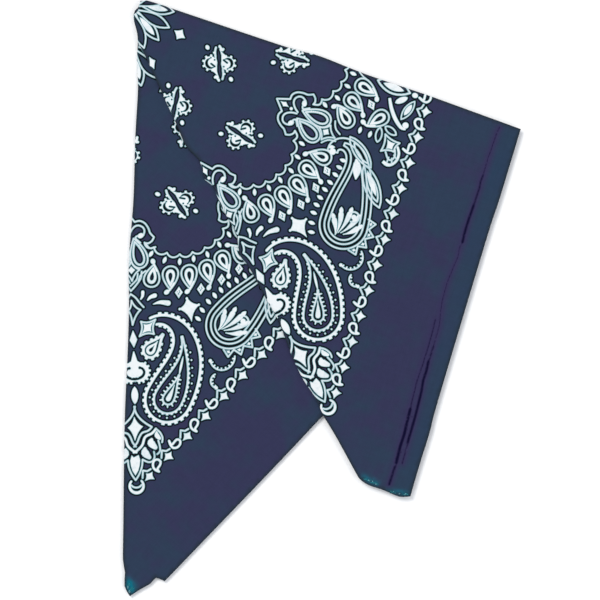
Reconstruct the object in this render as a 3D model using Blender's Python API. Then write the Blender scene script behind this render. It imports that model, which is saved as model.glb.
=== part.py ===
# A cotton bandana folded into a fan of two wedges, lying flat on its hidden layers.
# Metres, +Z up. X runs across the fan, Y towards its apex, and Z = 0 is the surface it lies on.
# Tables and sizes are in millimetres and turned into metres where the meshes are made.

import math

import bmesh
import bpy
from mathutils import Vector
from mathutils.geometry import delaunay_2d_cdt

MM = 0.001

# Driving sizes
WALL = 1.0              # one ply of a panel
SEAM_GAP = 0.3          # clear height between plies that lie on each other
HIDDEN_PLY = 0.8        # one ply of the hidden layers
HIDDEN_PLIES = 3        # plies under the left panel
HEM_WIDTH = 16.0        # allowance turned under along the side of the right panel
HEM_INSET = 0.8         # from the panel's side to the hem's outer edge
FOLD_MARGIN = 12.0      # width of the two-ply margin along the right panel's pleat fold
EASE = 14.0             # width over which a raised margin eases down to one ply
TUCK_CLEARANCE = 0.9    # between the tucked edge of the left panel and the layer beside it
TUCK_SLOPE = 3.0        # width of the slope up to that layer
FOOT_TRIM = (7.0, 22.0)  # how far the slope's foot stops short of the tucked edge's two ends
BROW_TRIM = (12.0, 30.0)  # and how far its upper edge does
HEM_END = 2.4           # from the panel's ends to the hem's ends
GRID = 9.5              # spacing of the points inside a panel that is not level
WAVY_STEP = 9.0         # spacing of the points along a wavy edge
SOFT_STEP = 18.0        # spacing along an edge with long soft waves
STRAIGHT_STEP = 60.0    # spacing along a straight edge
SHARP_ANGLE = 50.0      # degrees between faces above which their edge is shaded sharp

# Levels of the undersides, from the surface up
HIDDEN_TOP = HIDDEN_PLIES * HIDDEN_PLY
LEFT_UNDER = HIDDEN_TOP + SEAM_GAP
RIGHT_UNDER = LEFT_UNDER + WALL + SEAM_GAP
RAISED_PLY = RIGHT_UNDER - SEAM_GAP - HIDDEN_TOP    # extra layer where the left panel is not underneath
HEM_LIFT = WALL + SEAM_GAP
FOLD_RISE = WALL + SEAM_GAP

# Outline points (x, y), clockwise seen from above, each run ending where the next one starts
TOP_FOLD = (
    (-126.7, 207.3), (-122.0, 207.6), (-102.7, 201.5), (-26.0, 175.7),
    (-1.2, 168.8), (31.7, 155.9), (77.8, 140.2), (138.9, 117.9))
HEMMED_SIDE = (
    (138.9, 117.9), (123.9, 68.5), (114.8, 40.5), (81.3, -71.3),
    (75.7, -92.6), (68.0, -117.4), (61.9, -138.4))
CORNER_END = (
    (61.9, -138.4), (54.0, -138.6), (43.5, -134.2), (32.4, -130.4), (27.1, -126.9))
LEG_FOLD = (
    (27.1, -126.9), (25.4, -125.1), (12.8, -102.1), (7.2, -92.3), (0.9, -82.1))
PLEAT_FOLD = (
    (0.9, -82.1), (-5.6, -67.8), (-12.7, -57.3), (-20.8, -40.5), (-30.5, -15.4),
    (-38.5, -1.2), (-49.4, 18.9), (-57.1, 30.1), (-59.9, 45.4), (-69.7, 62.9),
    (-76.0, 78.3), (-81.6, 82.5), (-85.1, 95.1), (-94.9, 106.2), (-102.5, 123.7),
    (-112.3, 144.7), (-121.4, 165.0), (-128.4, 178.9))
APEX_FOLD = (
    (-128.4, 178.9), (-128.8, 184.5), (-130.6, 191.5), (-131.5, 197.1),
    (-130.5, 200.6), (-128.1, 202.7), (-126.7, 207.3))
LEFT_FOLD = (
    (-134.0, -208.3), (-137.8, -201.3), (-137.5, -191.5), (-138.9, -183.1), (-138.7, -162.2),
    (-137.7, -86.7), (-135.7, -39.8), (-134.7, -5.6), (-134.7, 27.3), (-131.6, 68.5),
    (-130.3, 111.8), (-128.4, 146.8), (-129.1, 163.6), (-128.4, 178.9))
TIP_END = (
    (-109.7, -197.8), (-115.8, -195.4), (-119.3, -199.2), (-127.7, -204.1), (-134.0, -208.3))
SELVAGE = ((0.9, -82.1), (-43.1, -128.6), (-109.7, -197.8))

# The left panel's edges where it is tucked under the right panel
TUCKED_APEX = ((-128.4, 178.9), (-126.6, 190.0), (-127.0, 197.0), (-124.0, 202.0))
TUCKED_FOLD = ((-124.0, 202.0), (80.3, -0.4))
TUCKED_SELVAGE = ((80.3, -0.4), (0.9, -82.1))

# Rows up an edge: distance in from the outline, and height as a share of the ply's thickness
RAW_ROWS = (
    (0.35, 0.0), (0.15, 0.1), (0.04, 0.28), (0.0, 0.5), (0.04, 0.72), (0.15, 0.9), (0.35, 1.0))
ROLLED_ROWS = (
    (1.6, 0.0), (1.35, -0.75), (1.0, -1.0), (0.45, -0.9), (0.05, -0.3), (0.1, 0.45), (0.8, 1.0))
DOUBLED_ROWS = (
    (0.6, 0.0), (0.1, 0.16), (0.1, 0.36), (0.45, 0.5), (0.1, 0.64), (0.1, 0.84), (0.6, 1.0))

# Hidden layers from the surface up: distance in from the outline, how far it wanders, waves round it
HIDDEN_EDGES = (
    {"inset": 1.5, "wander": 0.5, "waves": 7},
    {"inset": 0.95, "wander": 0.35, "waves": 5},
    {"inset": 2.1, "wander": 0.15, "waves": 9},
    {"inset": 2.25, "wander": 0.15, "waves": 4})
PLY_ROUNDING = 0.25     # how far in a hidden ply's edge rounds at its top and bottom
MITRE_LIMIT = 3.0       # longest mitre at a sharp tip, in insets

# Colours (linear) and surface of the cloth
NAVY = (0.030, 0.042, 0.092, 1.0)
HEM_NAVY = (0.024, 0.036, 0.080, 1.0)
LAYER_NAVY = (0.026, 0.034, 0.075, 1.0)
COTTON_ROUGHNESS = 0.9


def smooth(share):
    share = min(max(share, 0.0), 1.0)
    return share * share * (3.0 - 2.0 * share)


def spline(points, step):
    """Catmull-Rom curve through the points, without its last point."""
    ends = [points[0], *points, points[-1]]
    curve = []
    for before, start, end, after in zip(ends, ends[1:], ends[2:], ends[3:]):
        count = max(1, round(math.dist(start, end) / step))
        for i in range(count):
            t = i / count
            curve.append(tuple(
                0.5 * (2.0 * b + (c - a) * t + (2.0 * a - 5.0 * b + 4.0 * c - d) * t ** 2
                       + (3.0 * b - a - 3.0 * c + d) * t ** 3)
                for a, b, c, d in zip(before, start, end, after)))
    return curve


def loop_of(*runs):
    """Join runs of (points, rows, step) to a closed outline: its points, and each one's rows."""
    outline = []
    rows = []
    for points, edge_rows, step in runs:
        curve = spline(points, step)
        outline += curve
        rows += [edge_rows] * len(curve)
    return outline, blend_rows(rows)


def blend_rows(rows):
    """Where one kind of edge meets another, the point between takes the mean of the two."""
    blended = []
    for here, before in zip(rows, rows[-1:] + rows[:-1]):
        blended.append(tuple(
            ((a[0] + b[0]) / 2.0, (a[1] + b[1]) / 2.0) for a, b in zip(here, before)))
    return blended


def inward(outline):
    """Mitred inward direction at each point of a clockwise outline."""
    directions = []
    for before, here, after in zip(outline[-1:] + outline[:-1], outline, outline[1:] + outline[:1]):
        first = (Vector(here) - Vector(before)).normalized()
        second = (Vector(after) - Vector(here)).normalized()
        normals = [Vector((run.y, -run.x)) for run in (first, second)]
        total = normals[0] + normals[1]
        length = 2.0 / max(total.length_squared, 1e-6)
        mitre = total * length
        if mitre.length > MITRE_LIMIT:
            mitre = mitre.normalized() * MITRE_LIMIT
        directions.append(mitre)
    return directions


def distance_to_run(point, run):
    """Shortest distance from a point to an open run of points."""
    nearest = math.inf
    place = Vector(point)
    for start, end in zip(run, run[1:]):
        first = Vector(start)
        along = Vector(end) - first
        share = min(max((place - first).dot(along) / along.length_squared, 0.0), 1.0)
        nearest = min(nearest, (place - first - along * share).length)
    return nearest


def inside(point, outline):
    """Whether a point lies inside a closed outline."""
    x, y = point
    crossings = 0
    for (x0, y0), (x1, y1) in zip(outline, outline[1:] + outline[:1]):
        if (y0 > y) != (y1 > y) and x < x0 + (y - y0) * (x1 - x0) / (y1 - y0):
            crossings += 1
    return crossings % 2 == 1


def grid_points(outline, spacing, margin):
    """Points in staggered rows inside an outline, clear of it by a margin."""
    xs = [x for x, _ in outline]
    ys = [y for _, y in outline]
    row_height = spacing * math.sqrt(3.0) / 2.0
    closed = outline + outline[:1]
    points = []
    for row in range(1, int((max(ys) - min(ys)) / row_height) + 1):
        y = min(ys) + row * row_height
        shift = 0.5 * spacing * (row % 2)
        for column in range(int((max(xs) - min(xs)) / spacing) + 1):
            point = (min(xs) + shift + column * spacing, y)
            if inside(point, outline) and distance_to_run(point, closed) > margin:
                points.append(point)
    return points


def cap(bm, ring, points, height, guides=()):
    """Fill a closed ring of vertices, through further points and guide runs at their own height."""
    flat = [Vector((vert.co.x, vert.co.y)) for vert in ring]
    count = len(flat)
    edges = [(i, (i + 1) % count) for i in range(count)]
    flat += [Vector(point) * MM for point in points]
    for guide in guides:
        first = len(flat)
        flat += [Vector(point) * MM for point in guide]
        edges += [(i, i + 1) for i in range(first, len(flat) - 1)]
    found, _, faces, origins, _, _ = delaunay_2d_cdt(flat, edges, [], 1, 1e-7)
    verts = []
    for place, origin in zip(found, origins):
        if origin and origin[0] < count:
            verts.append(ring[origin[0]])
        else:
            verts.append(bm.verts.new((place.x, place.y, height(place.x / MM, place.y / MM) * MM)))
    for face in faces:
        bm.faces.new([verts[i] for i in face])


def bridge(bm, lower, upper):
    """Join two rings of as many vertices."""
    for i in range(len(lower)):
        following = (i + 1) % len(lower)
        bm.faces.new((lower[i], lower[following], upper[following], upper[i]))


def finish(name, bm, colour, collection):
    """Make the object, faces outward, with its own cotton material."""
    bmesh.ops.triangulate(bm, faces=[face for face in bm.faces if len(face.verts) > 3])
    bmesh.ops.recalc_face_normals(bm, faces=bm.faces)
    mesh = bpy.data.meshes.new(name)
    bm.to_mesh(mesh)
    bm.free()
    mesh.shade_smooth()
    mesh.set_sharp_from_angle(angle=math.radians(SHARP_ANGLE))
    material = bpy.data.materials.new(name)
    material.use_nodes = True
    shader = material.node_tree.nodes["Principled BSDF"]
    shader.inputs["Base Color"].default_value = colour
    shader.inputs["Roughness"].default_value = COTTON_ROUGHNESS
    shader.inputs["Metallic"].default_value = 0.0
    mesh.materials.append(material)
    part = bpy.data.objects.new(name, mesh)
    collection.objects.link(part)
    return part


def ply_solid(name, outline, rows, under, thickness, inner_points, colour, collection):
    """A ply of cloth: rows of points up its edge, and a cap through the inner points on each face."""
    directions = inward(outline)
    bm = bmesh.new()
    rings = []
    for row in range(len(rows[0])):
        ring = []
        for (x, y), direction, point_rows in zip(outline, directions, rows):
            inset, share = point_rows[row]
            depth = thickness(x, y) if share > 0.0 else WALL
            place = (x + direction.x * inset, y + direction.y * inset, under(x, y) + share * depth)
            ring.append(bm.verts.new(Vector(place) * MM))
        rings.append(ring)
    for lower, upper in zip(rings, rings[1:]):
        bridge(bm, lower, upper)
    near_hem = [point for point in inner_points
                if distance_to_run(point, HEMMED_SIDE) < HEM_WIDTH + 2.0 * EASE]
    cap(bm, rings[0], near_hem, under)
    cap(bm, rings[-1], inner_points, lambda x, y: under(x, y) + thickness(x, y))
    return finish(name, bm, colour, collection)


def hem_lift(x, y):
    """How much the hem turned under raises the right panel."""
    beyond = distance_to_run((x, y), HEMMED_SIDE) - HEM_INSET - HEM_WIDTH
    return HEM_LIFT * smooth(1.0 - (beyond - 1.0) / EASE)


def fold_rise(x, y):
    """Extra thickness of the right panel's margin, which is folded back under itself."""
    beyond = distance_to_run((x, y), LEG_FOLD + PLEAT_FOLD[1:] + APEX_FOLD[1:]) - FOLD_MARGIN
    clear_of_hem = 1.0 - hem_lift(x, y) / HEM_LIFT
    return FOLD_RISE * smooth(1.0 - beyond / EASE) * clear_of_hem


def right_panel(collection):
    outline, rows = loop_of(
        (TOP_FOLD, ROLLED_ROWS, SOFT_STEP),
        (HEMMED_SIDE, RAW_ROWS, SOFT_STEP),
        (CORNER_END, RAW_ROWS, WAVY_STEP),
        (LEG_FOLD, DOUBLED_ROWS, WAVY_STEP),
        (PLEAT_FOLD, DOUBLED_ROWS, WAVY_STEP),
        (APEX_FOLD, DOUBLED_ROWS, WAVY_STEP))
    return ply_solid(
        "right_panel", outline, rows,
        lambda x, y: RIGHT_UNDER + hem_lift(x, y),
        lambda x, y: WALL + fold_rise(x, y),
        grid_points(outline, GRID, GRID * 0.6), NAVY, collection)


def left_panel(collection):
    outline, rows = loop_of(
        (LEFT_FOLD, ROLLED_ROWS, WAVY_STEP),
        (TUCKED_APEX, RAW_ROWS, WAVY_STEP),
        (TUCKED_FOLD, RAW_ROWS, STRAIGHT_STEP),
        (TUCKED_SELVAGE, RAW_ROWS, STRAIGHT_STEP),
        (SELVAGE, RAW_ROWS, STRAIGHT_STEP),
        (TIP_END, RAW_ROWS, WAVY_STEP))
    return ply_solid(
        "left_panel", outline, rows,
        lambda x, y: LEFT_UNDER, lambda x, y: WALL, [], NAVY, collection)


def side_hem(collection):
    """The allowance turned under along the hemmed side, a flat strip under the right panel."""
    side = spline(HEMMED_SIDE, SOFT_STEP) + [HEMMED_SIDE[-1]]
    along_top = (Vector(TOP_FOLD[-1]) - Vector(TOP_FOLD[-2])).normalized()
    along_end = (Vector(CORNER_END[1]) - Vector(CORNER_END[0])).normalized()
    outer = []
    for i, point in enumerate(side):
        before = Vector(side[max(i - 1, 0)])
        after = Vector(side[min(i + 1, len(side) - 1)])
        run = (after - before).normalized()
        across = Vector((run.y, -run.x))
        shift = across * HEM_INSET
        if i == 0:
            shift += run * HEM_END
        if i == len(side) - 1:
            shift -= run * HEM_END
        outer.append((Vector(point) + shift, across))
    inner = [tuple(place + across * HEM_WIDTH) for place, across in outer]
    inner[0] = tuple(outer[0][0] - along_top * HEM_WIDTH)
    inner[-1] = tuple(outer[-1][0] + along_end * HEM_WIDTH)
    outline = [tuple(place) for place, _ in outer] + inner[::-1]
    rows = [RAW_ROWS] * len(outline)
    return ply_solid(
        "side_hem", outline, rows,
        lambda x, y: RIGHT_UNDER, lambda x, y: WALL, [], HEM_NAVY, collection)


def offset_run(run, distance, trim_start, trim_end):
    """A run of three points moved to its left, with both ends cut back."""
    points = [Vector(point) for point in run]
    first = (points[1] - points[0]).normalized()
    second = (points[2] - points[1]).normalized()
    first_side = Vector((-first.y, first.x))
    second_side = Vector((-second.y, second.x))
    corner = (first_side + second_side) / (1.0 + first_side.dot(second_side))
    moved = [
        points[0] + first_side * distance + first * trim_start,
        points[1] + corner * distance,
        points[2] + second_side * distance - second * trim_end]
    return [tuple(point) for point in moved]


def hidden_layers(collection):
    """All that lies below the two panels: one solid, its edge rounded ply by ply."""
    outline, _ = loop_of(
        (TOP_FOLD, RAW_ROWS, SOFT_STEP),
        (HEMMED_SIDE, RAW_ROWS, SOFT_STEP),
        (CORNER_END, RAW_ROWS, WAVY_STEP),
        (LEG_FOLD, RAW_ROWS, WAVY_STEP),
        (SELVAGE, RAW_ROWS, SOFT_STEP),
        (TIP_END, RAW_ROWS, WAVY_STEP),
        (LEFT_FOLD, RAW_ROWS, WAVY_STEP),
        (APEX_FOLD, RAW_ROWS, WAVY_STEP))
    tucked, _ = loop_of(
        (LEFT_FOLD, RAW_ROWS, WAVY_STEP),
        (TUCKED_APEX, RAW_ROWS, WAVY_STEP),
        (TUCKED_FOLD, RAW_ROWS, STRAIGHT_STEP),
        (TUCKED_SELVAGE, RAW_ROWS, STRAIGHT_STEP),
        (SELVAGE, RAW_ROWS, STRAIGHT_STEP),
        (TIP_END, RAW_ROWS, WAVY_STEP))
    tucked_closed = tucked + tucked[:1]

    def top(x, y):
        beyond = -1.0 if inside((x, y), tucked) else distance_to_run((x, y), tucked_closed)
        return HIDDEN_TOP + RAISED_PLY * smooth((beyond - TUCK_CLEARANCE) / TUCK_SLOPE)

    directions = inward(outline)
    count = len(outline)
    bm = bmesh.new()
    rings = []
    for ply, edge in enumerate(HIDDEN_EDGES):
        base = ply * HIDDEN_PLY
        for share, rounding in ((0.0, PLY_ROUNDING), (0.5, 0.0), (1.0, PLY_ROUNDING)):
            ring = []
            for i, ((x, y), direction) in enumerate(zip(outline, directions)):
                wander = edge["wander"] * math.sin(math.tau * edge["waves"] * i / count + ply)
                inset = edge["inset"] + wander + rounding
                inner_x = x + direction.x * inset
                inner_y = y + direction.y * inset
                height = base + share * HIDDEN_PLY
                if ply == HIDDEN_PLIES:
                    height = HIDDEN_TOP + share * (top(inner_x, inner_y) - HIDDEN_TOP)
                    spread = (1.0 - (top(inner_x, inner_y) - HIDDEN_TOP) / RAISED_PLY) * share
                    inner_x += direction.x * spread
                    inner_y += direction.y * spread
                ring.append(bm.verts.new(Vector((inner_x, inner_y, height)) * MM))
            rings.append(ring)
    for lower, upper in zip(rings, rings[1:]):
        bridge(bm, lower, upper)
    tucked_edge = (TUCKED_SELVAGE[1], TUCKED_SELVAGE[0], TUCKED_FOLD[0])
    slope_foot = offset_run(tucked_edge, -TUCK_CLEARANCE, *FOOT_TRIM)
    slope_brow = offset_run(tucked_edge, -TUCK_CLEARANCE - TUCK_SLOPE, *BROW_TRIM)
    cap(bm, rings[0], [], lambda x, y: 0.0)
    cap(bm, rings[-1], [], top, (slope_foot, slope_brow))
    return finish("hidden_layers", bm, LAYER_NAVY, collection)


def clear_scene():
    for old in list(bpy.data.objects):
        bpy.data.objects.remove(old, do_unlink=True)


def build():
    clear_scene()
    collection = bpy.data.collections.new("bandana")
    bpy.context.scene.collection.children.link(collection)
    hidden_layers(collection)
    left_panel(collection)
    side_hem(collection)
    right_panel(collection)


build()
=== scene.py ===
# A printed cotton bandana folded to a flat fan of two wedges: cloth, print, hem, folded layers, floor, light
# and camera. Sizes are in millimetres and turned into metres where a mesh is made. The print is drawn on the
# flat cloth, where u runs from the square's middle to its hemmed side and v runs along that side.
import math
import random

import bmesh
import bpy
import numpy as np
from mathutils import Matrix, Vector
from mathutils.geometry import delaunay_2d_cdt


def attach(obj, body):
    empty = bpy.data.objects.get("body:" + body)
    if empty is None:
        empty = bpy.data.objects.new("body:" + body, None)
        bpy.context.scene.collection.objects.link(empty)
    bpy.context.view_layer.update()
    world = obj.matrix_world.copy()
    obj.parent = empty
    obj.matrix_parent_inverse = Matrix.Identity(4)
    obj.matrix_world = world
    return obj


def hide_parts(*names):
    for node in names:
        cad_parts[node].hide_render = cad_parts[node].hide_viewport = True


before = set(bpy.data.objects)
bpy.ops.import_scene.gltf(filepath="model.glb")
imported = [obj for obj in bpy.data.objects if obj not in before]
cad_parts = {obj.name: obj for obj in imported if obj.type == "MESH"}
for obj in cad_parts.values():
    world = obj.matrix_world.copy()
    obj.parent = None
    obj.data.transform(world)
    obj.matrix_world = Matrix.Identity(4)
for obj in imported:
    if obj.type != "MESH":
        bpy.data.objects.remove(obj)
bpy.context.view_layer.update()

mm = 0.001
tau = math.tau


# shader helpers

class Signal:
    # a shader socket that can be used in sums
    def __init__(self, tree, socket):
        self.tree = tree
        self.socket = socket

    def calc(self, operation, first, second=0.0):
        node = self.tree.nodes.new("ShaderNodeMath")
        node.operation = operation
        for slot, value in zip(node.inputs, (first, second)):
            feed(self.tree, slot, value)
        return Signal(self.tree, node.outputs[0])

    def __add__(self, other):
        return self.calc("ADD", self, other)

    def __sub__(self, other):
        return self.calc("SUBTRACT", self, other)

    def __rsub__(self, other):
        return self.calc("SUBTRACT", other, self)

    def __mul__(self, other):
        return self.calc("MULTIPLY", self, other)

    __radd__ = __add__
    __rmul__ = __mul__

    def sin(self):
        return self.calc("SINE", self)

    def clamp(self):
        return self.calc("MINIMUM", self.calc("MAXIMUM", self, 0.0), 1.0)


def feed(tree, slot, value):
    if isinstance(value, Signal):
        tree.links.new(value.socket, slot)
    else:
        slot.default_value = value


class Finish:
    # one material: its tree, its shader, and a method that adds any node
    def __init__(self, name, **constants):
        self.material = bpy.data.materials.new(name)
        self.material.use_nodes = True
        self.tree = self.material.node_tree
        self.shader = self.tree.nodes["Principled BSDF"]
        for key, value in constants.items():
            self.shader.inputs[key.replace("_", " ")].default_value = value

    def node(self, kind, settings, inputs, output=0):
        made = self.tree.nodes.new(kind)
        for key, value in settings.items():
            setattr(made, key, value)
        for key, value in inputs.items():
            feed(self.tree, made.inputs[key], value)
        return Signal(self.tree, made.outputs[output])

    def blend(self, share, first, second):
        return self.node("ShaderNodeMix", {"data_type": "RGBA"}, {0: share, 6: first, 7: second}, 2)

    def noise(self, place, scale, detail=2.0, roughness=0.5):
        return self.node("ShaderNodeTexNoise", {}, {
            "Vector": place, "Scale": scale, "Detail": detail, "Roughness": roughness})

    def onCloth(self):
        return self.node("ShaderNodeUVMap", {"uv_map": "cloth"}, {})

    def mark(self, name):
        return self.node("ShaderNodeAttribute", {"attribute_name": name}, {}, "Fac")

    def vector(self, operation, inputs):
        return self.node("ShaderNodeVectorMath", {"operation": operation}, inputs)

    def stretch(self, value, low, high, top=1.0):
        # 0 below low, top above high
        return self.node("ShaderNodeMapRange", {}, {
            "Value": value, "From Min": low, "From Max": high, "To Max": top})

    def parts(self, vector):
        split = self.tree.nodes.new("ShaderNodeSeparateXYZ")
        feed(self.tree, split.inputs[0], vector)
        return [Signal(self.tree, socket) for socket in split.outputs]

    def bump(self, height, distance):
        return self.node("ShaderNodeBump", {}, {"Height": height, "Distance": distance, "Strength": 1.0})

    def finish(self, **links):
        for key, value in links.items():
            feed(self.tree, self.shader.inputs[key.replace("_", " ")], value)
        return self.material


# cotton and print
cottonLook = {
    "tealNavy": (0.0215, 0.0370, 0.0710, 1.0),
    "plumNavy": (0.0275, 0.0292, 0.0725, 1.0),
    "patchesPerMetre": 38.0,    # the dye's teal and plum patches, and the wide clouds behind them
    "cloudsPerMetre": 9.0,
    "patchRange": (0.43, 0.57),
    "mottlePerMetre": 230.0,
    "mottleContrast": 0.16,
    "threadPitch": 0.00042,     # metres between two threads
    "slubsPerMetre": 900.0,
    "slubStretch": 0.05,        # slubs run this many times further along their thread than across it
    "weaveDepth": 0.00006,
    "threadContrast": 0.16,
    "edgeTeal": (0.115, 0.290, 0.322, 1.0),     # rim of the print, and the shade beyond it
    "edgeShade": 0.02,
    "shadeRange": (0.0, 0.26),
    "edgeRange": (0.70, 0.84),
    "seamPlum": (0.0300, 0.0250, 0.0760, 1.0),  # beside the sewing, and painted shade in its crease
    "seamCreaseShade": (0.0020, 0.0010, 0.0210, 1.0),
    "seamShadeRange": (0.52, 0.9),
    "frayed": (0.0020, 0.1200, 0.1750, 1.0),
    "hemTeal": (0.0140, 0.0430, 0.0760, 1.0),   # the hem's own cast
    "brinkShade": (0.0150, 0.0240, 0.0330, 1.0),     # painted shade where the cloth turns down at its edges
    "brinkShadeShare": 0.9,
}
inkLook = {
    "white": (0.725, 0.755, 0.765, 1.0),
    "thin": (0.40, 0.535, 0.580, 1.0),          # where it is worn, and in the finest lines
    "specksPerMetre": (420.0, 75.0),
    "wornRange": (0.48, 0.68),
    "wornShare": 0.6,
    "fineShare": 0.42,
}
threadLook = {
    "stitch": (0.0030, 0.0024, 0.0280, 1.0),
    "tealThread": (0.030, 0.240, 0.280, 1.0),
    "paleThread": (0.32, 0.62, 0.68, 1.0),
}


def weaveOf(finish, place, look):
    # height of a plain weave, and of the slubs in its threads, both 0 to 1
    across, along, _ = finish.parts(place)
    perMetre = math.pi / look["threadPitch"]
    over = (across * perMetre).sin() * (along * perMetre).sin()
    pulled = look["slubStretch"]
    oneWay = finish.vector("MULTIPLY", {0: place, 1: (1.0, pulled, 1.0)})
    otherWay = finish.vector("MULTIPLY", {0: place, 1: (pulled, 1.0, 1.0)})
    scale = look["slubsPerMetre"]
    slubs = finish.noise(oneWay, scale, 1.0) + finish.noise(otherWay, scale, 1.0)
    return over * 0.5 + 0.5, slubs * 0.5


def weaveBump(finish, weave, slubs, look):
    return finish.bump(weave * 0.6 + slubs * 0.9, look["weaveDepth"])


# darker scales the colour down; the layers turned under use it as painted shade
def cottonFinish(name, look, darker=1.0, edged=False, marked=False):
    finish = Finish(
        name, Sheen_Weight=0.04, Sheen_Roughness=0.45, Sheen_Tint=(0.55, 0.62, 0.85, 1.0), Metallic=0.0,
        Specular_IOR_Level=0.1)
    place = finish.onCloth()
    weave, slubs = weaveOf(finish, place, look)
    patches = finish.noise(place, look["patchesPerMetre"], 3.0, 0.6)
    cloudy = finish.noise(place, look["cloudsPerMetre"], 2.0, 0.5)
    tone = finish.stretch(patches * 0.6 + cloudy * 0.4, *look["patchRange"])
    colour = finish.blend(tone, look["tealNavy"], look["plumNavy"])
    mottle = finish.noise(place, look["mottlePerMetre"], 2.0, 0.6)
    if marked:
        seam = finish.mark("seam")
        colour = finish.blend(finish.mark("hem") * (patches * 1.6 - 0.4).clamp(), colour, look["hemTeal"])
        colour = finish.blend((seam * 1.7).clamp(), colour, look["seamPlum"])
        # painted shade in the crease of each row of stitches
        colour = finish.blend(finish.stretch(seam, *look["seamShadeRange"]), colour, look["seamCreaseShade"])
        colour = finish.blend((finish.mark("frayed") * (mottle * 1.6)).clamp(), colour, look["frayed"])
        # painted shade along the outline, where the cloth turns down
        colour = finish.blend(finish.mark("brinkShade") * look["brinkShadeShare"], colour, look["brinkShade"])
    contrast = look["threadContrast"]
    shade = weave * contrast + slubs * contrast * 1.6 + mottle * look["mottleContrast"]
    shade = shade + (0.92 - contrast * 1.3)
    shaded = finish.vector("SCALE", {0: colour, "Scale": shade * darker})
    if edged:
        edge = finish.mark("printEdge")
        near = finish.stretch(edge, *look["shadeRange"], 1.0 - look["edgeShade"])
        dulled = finish.vector("SCALE", {0: shaded, "Scale": 1.0 - near})
        shaded = finish.blend(finish.stretch(edge, *look["edgeRange"]), dulled, look["edgeTeal"])
    return finish.finish(
        Base_Color=shaded, Roughness=slubs * 0.12 + 0.82, Normal=weaveBump(finish, weave, slubs, look))


def inkFinish(name, look, ink):
    # printed areas: the weave shows through a coat of even colour
    finish = Finish(name, Sheen_Weight=0.08, Sheen_Roughness=0.5, Metallic=0.0, Specular_IOR_Level=0.3)
    place = finish.onCloth()
    weave, slubs = weaveOf(finish, place, look)
    small, large = ink["specksPerMetre"]
    specks = finish.noise(place, small, 2.0, 0.6) * 0.35 + finish.noise(place, large, 3.0, 0.65) * 0.65
    worn = finish.stretch(specks, *ink["wornRange"])
    fine = finish.mark("thinLine")
    share = (worn * ink["wornShare"] + fine * ink["fineShare"]).clamp()
    colour = finish.blend(share, ink["white"], ink["thin"])
    shaded = finish.vector("SCALE", {0: colour, "Scale": weave * 0.05 + slubs * 0.08 + 0.93})
    return finish.finish(
        Base_Color=shaded, Roughness=slubs * 0.1 + 0.78, Normal=weaveBump(finish, weave, slubs, look))


finishes = {
    "cotton": cottonFinish("navy cotton", cottonLook, marked=True),
    "rim": cottonFinish("navy cotton beside the print", cottonLook, edged=True),
    # painted shade: the folded layers beneath are this cotton at 0.86 of its brightness
    "turned": cottonFinish("navy cotton turned under, painted shade", cottonLook, 0.86),
    "white": inkFinish("white print", cottonLook, inkLook),
}
for name, colour in threadLook.items():
    finishes[name] = Finish(name, Roughness=0.8, Specular_IOR_Level=0.06).finish(Base_Color=colour)
print("finishes made:", len(finishes))


# the fold: outlines seen from above, clockwise, each run ending where the next one starts

fold = {
    "topFold": (
        (-126.7, 207.3), (-122.0, 207.6), (-102.7, 201.5), (-26.0, 175.7),
        (-1.2, 168.8), (31.7, 155.9), (77.8, 140.2), (138.9, 117.9)),
    "hemmedSide": (
        (138.9, 117.9), (123.9, 68.5), (114.8, 40.5), (81.3, -71.3),
        (75.7, -92.6), (68.0, -117.4), (61.9, -138.4)),
    "cornerEnd": ((61.9, -138.4), (54.0, -138.6), (43.5, -134.2), (32.4, -130.4), (27.1, -126.9)),
    "legFold": ((27.1, -126.9), (25.4, -125.1), (12.8, -102.1), (7.2, -92.3), (0.9, -82.1)),
    "pleatFold": (
        (0.9, -82.1), (-5.6, -67.8), (-12.7, -57.3), (-20.8, -40.5), (-30.5, -15.4),
        (-38.5, -1.2), (-49.4, 18.9), (-57.1, 30.1), (-59.9, 45.4), (-69.7, 62.9),
        (-76.0, 78.3), (-81.6, 82.5), (-85.1, 95.1), (-94.9, 106.2), (-102.5, 123.7),
        (-112.3, 144.7), (-121.4, 165.0), (-128.4, 178.9)),
    "apexFold": (
        (-128.4, 178.9), (-128.8, 184.5), (-130.6, 191.5), (-131.5, 197.1),
        (-130.5, 200.6), (-128.1, 202.7), (-126.7, 207.3)),
    "leftFold": (
        (-134.0, -208.3), (-137.8, -201.3), (-137.5, -191.5), (-138.9, -183.1), (-138.7, -162.2),
        (-137.7, -86.7), (-135.7, -39.8), (-134.7, -5.6), (-134.7, 27.3), (-131.6, 68.5),
        (-130.3, 111.8), (-128.4, 146.8), (-129.1, 163.6), (-128.4, 178.9)),
    "tipEnd": ((-109.7, -197.8), (-115.8, -195.4), (-119.3, -199.2), (-127.7, -204.1), (-134.0, -208.3)),
    "selvage": ((0.9, -82.1), (-43.1, -128.6), (-109.7, -197.8)),
    "tuckedApex": ((-128.4, 178.9), (-126.6, 190.0), (-127.0, 197.0), (-124.0, 202.0)),
    "tuckedFold": ((-124.0, 202.0), (80.3, -0.4)),
    "tuckedSelvage": ((80.3, -0.4), (0.9, -82.1)),
}
levels = {
    "cloth": 0.6,           # one ply as it shows
    "hiddenPly": 0.8,
    "hiddenTop": 2.4,
    "leftTop": 3.7,
    "rightTop": 5.0,
    "hemTop": 5.0,
    "hemLift": 1.3,         # the hem turned under raises the side
    "hemWidth": 16.0,
    "hemEase": 1.8,
    "hemPly": 0.4,          # how much thicker the side is at the hem
    "foldRise": 1.3,        # two plies along the pleat
    "foldMargin": 12.0,
    "ease": 14.0,
    "seamDepth": 0.16,      # the stitches pull a small crease
    "seamReach": 0.8,
}
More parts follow.
